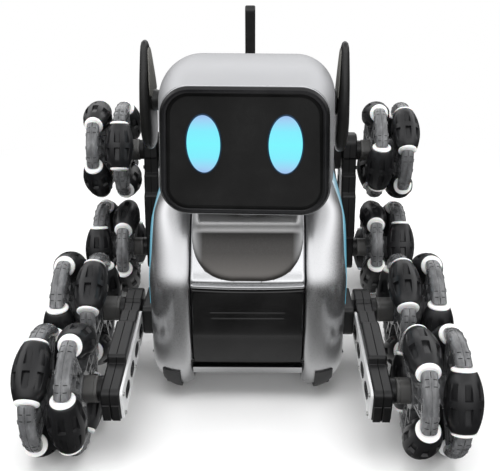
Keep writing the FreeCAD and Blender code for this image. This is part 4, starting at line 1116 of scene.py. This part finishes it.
for which in ("front", "rear"):
    for side, lr in ((-1, "left"), (1, "right")):
        base = "leg_%s_%s" % (which, lr)
        m = leg_matrix(side, which)
        piece(base + "_gasket", mirrored(leg_trim(side, which), m, side, base + "_gasket"), "seam_black", base)
        piece(base + "_inserts", mirrored(INSERT, m, side, base + "_inserts"), "black_gloss", base)
        piece(base + "_cheek", mirrored(CHEEK, m, side, base + "_cheek"), "black_satin", base)
        piece(base + "_screws", mirrored(LSCREW, m, side, base + "_screws"), "steel", base)


# ------------------------------------------------------------------ fork marks: parting line and moulded notches in the clear forks
def fork_marks():
    b = Build()
    rho, rw = 43.35, 5.75
    for xr, off in ((ROW, 60.0), (-ROW, 0.0)):
        for k in range(3):
            st = len(b.v)
            rings = []
            for i in range(25):
                t = -0.93 + 1.86 * i / 24
                be = math.radians(25.7) * t
                om = math.radians(60.0) * math.copysign(abs(t) ** 1.25, t)
                cy, cz = math.sin(be) * rho, math.cos(be) * rho
                dy, dz = math.sin(om), math.cos(om)
                rings.append([(-0.24, cy + dy * (rw - 0.5), cz + dz * (rw - 0.5)), (-0.24, cy + dy * (rw + 0.07), cz + dz * (rw + 0.07)),
                              (0.24, cy + dy * (rw + 0.07), cz + dz * (rw + 0.07)), (0.24, cy + dy * (rw - 0.5), cz + dz * (rw - 0.5))])
            b.loft(rings)
            # notches: short staples either side of the parting line
            for t in (-0.62, 0.62):
                for sx in (-1, 1):
                    for (dt, x0, x1) in ((-0.10, 1.5, 4.3), (0.10, 1.5, 4.3)):
                        rr = []
                        for q in range(5):
                            x = sx * (x0 + (x1 - x0) * q / 4)
                            w = 5.75 * (1 - abs(x / 6.15) ** 2.7) ** (1 / 2.7)
                            be = math.radians(25.7) * (t + dt)
                            om = math.radians(60.0) * math.copysign(abs(t + dt) ** 1.25, t)
                            cy, cz = math.sin(be) * rho, math.cos(be) * rho
                            dy, dz = math.sin(om), math.cos(om)
                            ty, tz = dz, -dy
                            h = w + 0.08
                            g = w - 0.6
                            rr.append([(x, cy + dy * g - ty * 0.26, cz + dz * g - tz * 0.26), (x, cy + dy * h - ty * 0.26, cz + dz * h - tz * 0.26),
                                       (x, cy + dy * h + ty * 0.26, cz + dz * h + tz * 0.26), (x, cy + dy * g + ty * 0.26, cz + dz * g + tz * 0.26)])
                        b.loft(rr)
            b.moved(Matrix.Translation(Vector((xr, 0, 0))) @ turn_x(off + 120 * k).to_4x4(), st)
    return b.mesh("fork_marks", 40.0)


ME_MARKS = fork_marks()
for name in ("front", "middle", "rear", "upper"):
    for side, lr in ((-1, "left"), (1, "right")):
        node = "wheel_%s_%s" % (name, lr)
        piece(node + "_fork_marks", ME_MARKS, "seam_black", node, wheel_matrix(side, name))


# ------------------------------------------------------------------ face details: gasket round the screen, bright lip, rims round the eyes
def face_loop(inset, n=18):
    """Rounded face outline in X and Z before the head's pan."""
    hb, ht, z0, z1, r = 61.4 - inset, 58.8 - inset, 177.2 + inset, 271.0 - inset, 20.5 - inset
    out = []
    for (cx, cz, a0) in ((ht - r, z1 - r, 90), (hb - r, z0 + r, 0), (-hb + r, z0 + r, -90), (-ht + r, z1 - r, -180)):
        for k in range(n + 1):
            a = math.radians(a0 - 90.0 * k / n)
            out.append((cx + r * math.cos(a), cz + r * math.sin(a)))
    return out


PAN = Matrix.Translation(Vector((0, -45.0, 0)) * MM) @ Matrix.Rotation(math.radians(-2.0), 4, "Z") @ Matrix.Translation(Vector((0, 45.0, 0)) * MM)


def face_ring(name, stations, mat):
    """Closed band round the face from (inset, y) stations of its section."""
    b = Build()
    b.loft([[(x, y, z) for (x, z) in face_loop(i)] for (i, y) in stations], loop=True)
    me = b.mesh(name, 50.0)
    me.transform(PAN)
    return piece(name, me, mat, "head")


face_ring("screen_gasket", [(4.3, -97.2), (4.3, -98.05), (4.6, -98.2), (6.3, -97.95), (6.6, -97.8), (6.6, -97.2)], "seam_black")
face_ring("face_lip", [(0.3, -95.2), (-0.35, -95.3), (-0.75, -95.6), (-0.75, -96.1), (-0.35, -96.35), (0.3, -96.3)], "silver_bright")
face_ring("face_bevel", [(2.2, -98.3), (1.5, -98.55), (1.3, -98.85), (1.9, -99.0), (3.6, -98.95), (4.1, -98.75), (4.1, -98.3)], "bezel_gloss")


def eye_rims():
    b = Build()
    for sx in (-29.1, 29.1):
        rings = []
        for (da, y) in ((-0.25, -97.6), (-0.2, -97.92), (0.35, -97.95), (0.75, -97.8), (0.8, -97.5)):
            rings.append([(sx + math.cos(2 * math.pi * k / 72) * (12.2 + da), y, 230.2 + math.sin(2 * math.pi * k / 72) * (21.25 + da)) for k in range(72)])
        b.loft(rings, loop=True)
    me = b.mesh("eye_rims", 50.0)
    me.transform(PAN)
    return me


piece("eye_rims", eye_rims(), "eye_rim_blue", "head")


# ------------------------------------------------------------------ camera, floor, light
cam_data = bpy.data.cameras.new("camera")
cam_data.sensor_width = 36.0
cam_data.lens = 729.49 / 500.0 * 36.0
cam_data.clip_start = 0.01
cam_data.clip_end = 50.0
cam = bpy.data.objects.new("camera", cam_data)
bpy.context.scene.collection.objects.link(cam)
cam.location = (0.00679, -0.59440, 0.38044)
cam.rotation_euler = (math.radians(90.0 - 23.915), 0.0, math.radians(0.54))
bpy.context.scene.camera = cam


def stage_material():
    """White sweep: plain paper near the object, fading to pure white far off; mirrors see it fall off quickly."""
    m = bpy.data.materials.new("stage_white")
    m.use_nodes = True
    t = m.node_tree
    for n in list(t.nodes):
        t.nodes.remove(n)
    out = t.nodes.new("ShaderNodeOutputMaterial")
    co = t.nodes.new("ShaderNodeTexCoord")
    ln = t.nodes.new("ShaderNodeVectorMath")
    ln.operation = "LENGTH"
    t.links.new(co.outputs["Object"], ln.inputs[0])

    def fall(a, b, lo, hi):
        r = t.nodes.new("ShaderNodeMapRange")
        r.interpolation_type = "SMOOTHSTEP"
        r.inputs["From Min"].default_value = a
        r.inputs["From Max"].default_value = b
        r.inputs["To Min"].default_value = lo
        r.inputs["To Max"].default_value = hi
        t.links.new(ln.outputs["Value"], r.inputs["Value"])
        return r.outputs[0]

    dif = t.nodes.new("ShaderNodeBsdfDiffuse")
    noise = t.nodes.new("ShaderNodeTexNoise")
    noise.inputs["Scale"].default_value = 3.0
    t.links.new(co.outputs["Object"], noise.inputs["Vector"])
    ramp = t.nodes.new("ShaderNodeValToRGB")
    ramp.color_ramp.elements[0].color = (0.93, 0.93, 0.93, 1)
    ramp.color_ramp.elements[1].color = (0.95, 0.95, 0.95, 1)
    t.links.new(noise.outputs["Fac"], ramp.inputs[0])
    t.links.new(ramp.outputs[0], dif.inputs["Color"])
    em = t.nodes.new("ShaderNodeEmission")
    em.inputs["Color"].default_value = (1, 1, 1, 1)
    em.inputs["Strength"].default_value = 1.0
    mix = t.nodes.new("ShaderNodeMixShader")
    t.links.new(fall(0.26, 0.75, 0.0, 1.0), mix.inputs[0])
    t.links.new(dif.outputs[0], mix.inputs[1])
    t.links.new(em.outputs[0], mix.inputs[2])
    dark = t.nodes.new("ShaderNodeEmission")
    dark.inputs["Color"].default_value = (1, 1, 1, 1)
    half = t.nodes.new("ShaderNodeMath")
    half.operation = "MULTIPLY"
    half.inputs[1].default_value = 2.0
    t.links.new(ln.outputs["Value"], half.inputs[0])
    prof = t.nodes.new("ShaderNodeValToRGB")
    pe = prof.color_ramp.elements
    steps = [(0.0, 0.12), (0.19, 0.30), (0.25, 0.80), (0.31, 0.62), (0.38, 0.27), (0.43, 0.10), (0.54, 0.11), (0.64, 0.17), (0.8, 0.20), (1.0, 0.22)]
    while len(pe) < len(steps):
        pe.new(0.5)
    for e, (q, c) in zip(pe, steps):
        e.position = q
        e.color = (c, c, c, 1.0)
    t.links.new(half.outputs[0], prof.inputs[0])
    t.links.new(prof.outputs[0], dark.inputs["Color"])
    sx = t.nodes.new("ShaderNodeSeparateXYZ")
    t.links.new(co.outputs["Object"], sx.inputs[0])
    ab = t.nodes.new("ShaderNodeMath")
    ab.operation = "ABSOLUTE"
    t.links.new(sx.outputs["X"], ab.inputs[0])
    sf = t.nodes.new("ShaderNodeMapRange")
    sf.interpolation_type = "SMOOTHSTEP"
    sf.inputs["From Min"].default_value = 0.100
    sf.inputs["From Max"].default_value = 0.140
    sf.inputs["To Min"].default_value = 1.0
    sf.inputs["To Max"].default_value = 0.18
    t.links.new(ab.outputs[0], sf.inputs["Value"])
    t.links.new(sf.outputs[0], dark.inputs["Strength"])
    lp = t.nodes.new("ShaderNodeLightPath")
    mix2 = t.nodes.new("ShaderNodeMixShader")
    t.links.new(lp.outputs["Is Glossy Ray"], mix2.inputs[0])
    t.links.new(mix.outputs[0], mix2.inputs[1])
    t.links.new(dark.outputs[0], mix2.inputs[2])
    t.links.new(mix2.outputs[0], out.inputs[0])
    return m


floor_me = bpy.data.meshes.new("floor")
floor_me.from_pydata([(-30, -30, -0.0002), (30, -30, -0.0002), (30, 30, -0.0002), (-30, 30, -0.0002)], [], [(0, 1, 2, 3)])
floor_me.materials.append(stage_material())
floor = bpy.data.objects.new("floor", floor_me)
bpy.context.scene.collection.objects.link(floor)


def area(name, loc, target, size, power, shape="RECTANGLE", size_y=None, color=(1, 1, 1)):
    d = bpy.data.lights.new(name, "AREA")
    d.shape = shape
    d.size = size
    if size_y:
        d.size_y = size_y
    d.energy = power
    d.color = color
    o = bpy.data.objects.new(name, d)
    bpy.context.scene.collection.objects.link(o)
    o.location = loc
    o.visible_glossy = False
    v = Vector(target) - Vector(loc)
    o.rotation_euler = v.to_track_quat("-Z", "Y").to_euler()
    return o


area("top_box", (0.0, -0.15, 1.35), (0, 0, 0.1), 1.5, 17.0, size_y=1.2)
area("left_box", (-1.25, -0.55, 0.75), (0, 0, 0.12), 0.5, 7.0, size_y=0.9)
area("right_box", (1.25, -0.55, 0.75), (0, 0, 0.12), 0.5, 7.0, size_y=0.9)
area("front_fill", (0.15, -1.6, 0.9), (0, 0, 0.12), 0.9, 5.0, size_y=0.5)
area("back_box", (0.0, 1.3, 0.9), (0, 0, 0.15), 1.4, 8.0, size_y=0.6)

world = bpy.data.worlds.new("studio")
bpy.context.scene.world = world
world.use_nodes = True
wt = world.node_tree
for n in list(wt.nodes):
    wt.nodes.remove(n)
wo = wt.nodes.new("ShaderNodeOutputWorld")
mixs = wt.nodes.new("ShaderNodeMixShader")
lp = wt.nodes.new("ShaderNodeLightPath")
bg_cam = wt.nodes.new("ShaderNodeBackground")
bg_env = wt.nodes.new("ShaderNodeBackground")
bg_cam.inputs[0].default_value = (1.0, 1.0, 1.0, 1.0)
bg_cam.inputs[1].default_value = 1.0
tc = wt.nodes.new("ShaderNodeTexCoord")
sp = wt.nodes.new("ShaderNodeSeparateXYZ")
rp = wt.nodes.new("ShaderNodeValToRGB")
mr = wt.nodes.new("ShaderNodeMapRange")
mr.inputs["From Min"].default_value = -1.0
mr.inputs["From Max"].default_value = 1.0
wt.links.new(tc.outputs["Generated"], sp.inputs[0])
wt.links.new(sp.outputs["Z"], mr.inputs["Value"])
wt.links.new(mr.outputs[0], rp.inputs[0])
el = rp.color_ramp.elements
sky = [(0.50, 0.20), (0.57, 0.42), (0.638, 0.85), (0.703, 1.35), (0.757, 2.1), (0.835, 1.65), (0.883, 1.10), (0.933, 0.95), (1.0, 0.95)]
while len(el) < len(sky):
    el.new(0.5)
for e, (p, c) in zip(el, sky):
    e.position = p
    e.color = (c, c, c * 1.01, 1.0)
wt.links.new(rp.outputs[0], bg_env.inputs[0])
bg_env.inputs[1].default_value = 1.0
bg_dif = wt.nodes.new("ShaderNodeBackground")
bg_dif.inputs[0].default_value = (1.0, 1.0, 1.0, 1.0)
bg_dif.inputs[1].default_value = 0.42
mixg = wt.nodes.new("ShaderNodeMixShader")
wt.links.new(lp.outputs["Is Glossy Ray"], mixg.inputs[0])
wt.links.new(bg_dif.outputs[0], mixg.inputs[1])
wt.links.new(bg_env.outputs[0], mixg.inputs[2])
wt.links.new(lp.outputs["Is Camera Ray"], mixs.inputs[0])
wt.links.new(mixg.outputs[0], mixs.inputs[1])
wt.links.new(bg_cam.outputs[0], mixs.inputs[2])
wt.links.new(mixs.outputs[0], wo.inputs[0])
bpy.context.scene.view_settings.view_transform = "Standard"
bpy.context.scene.view_settings.look = "None"

import json
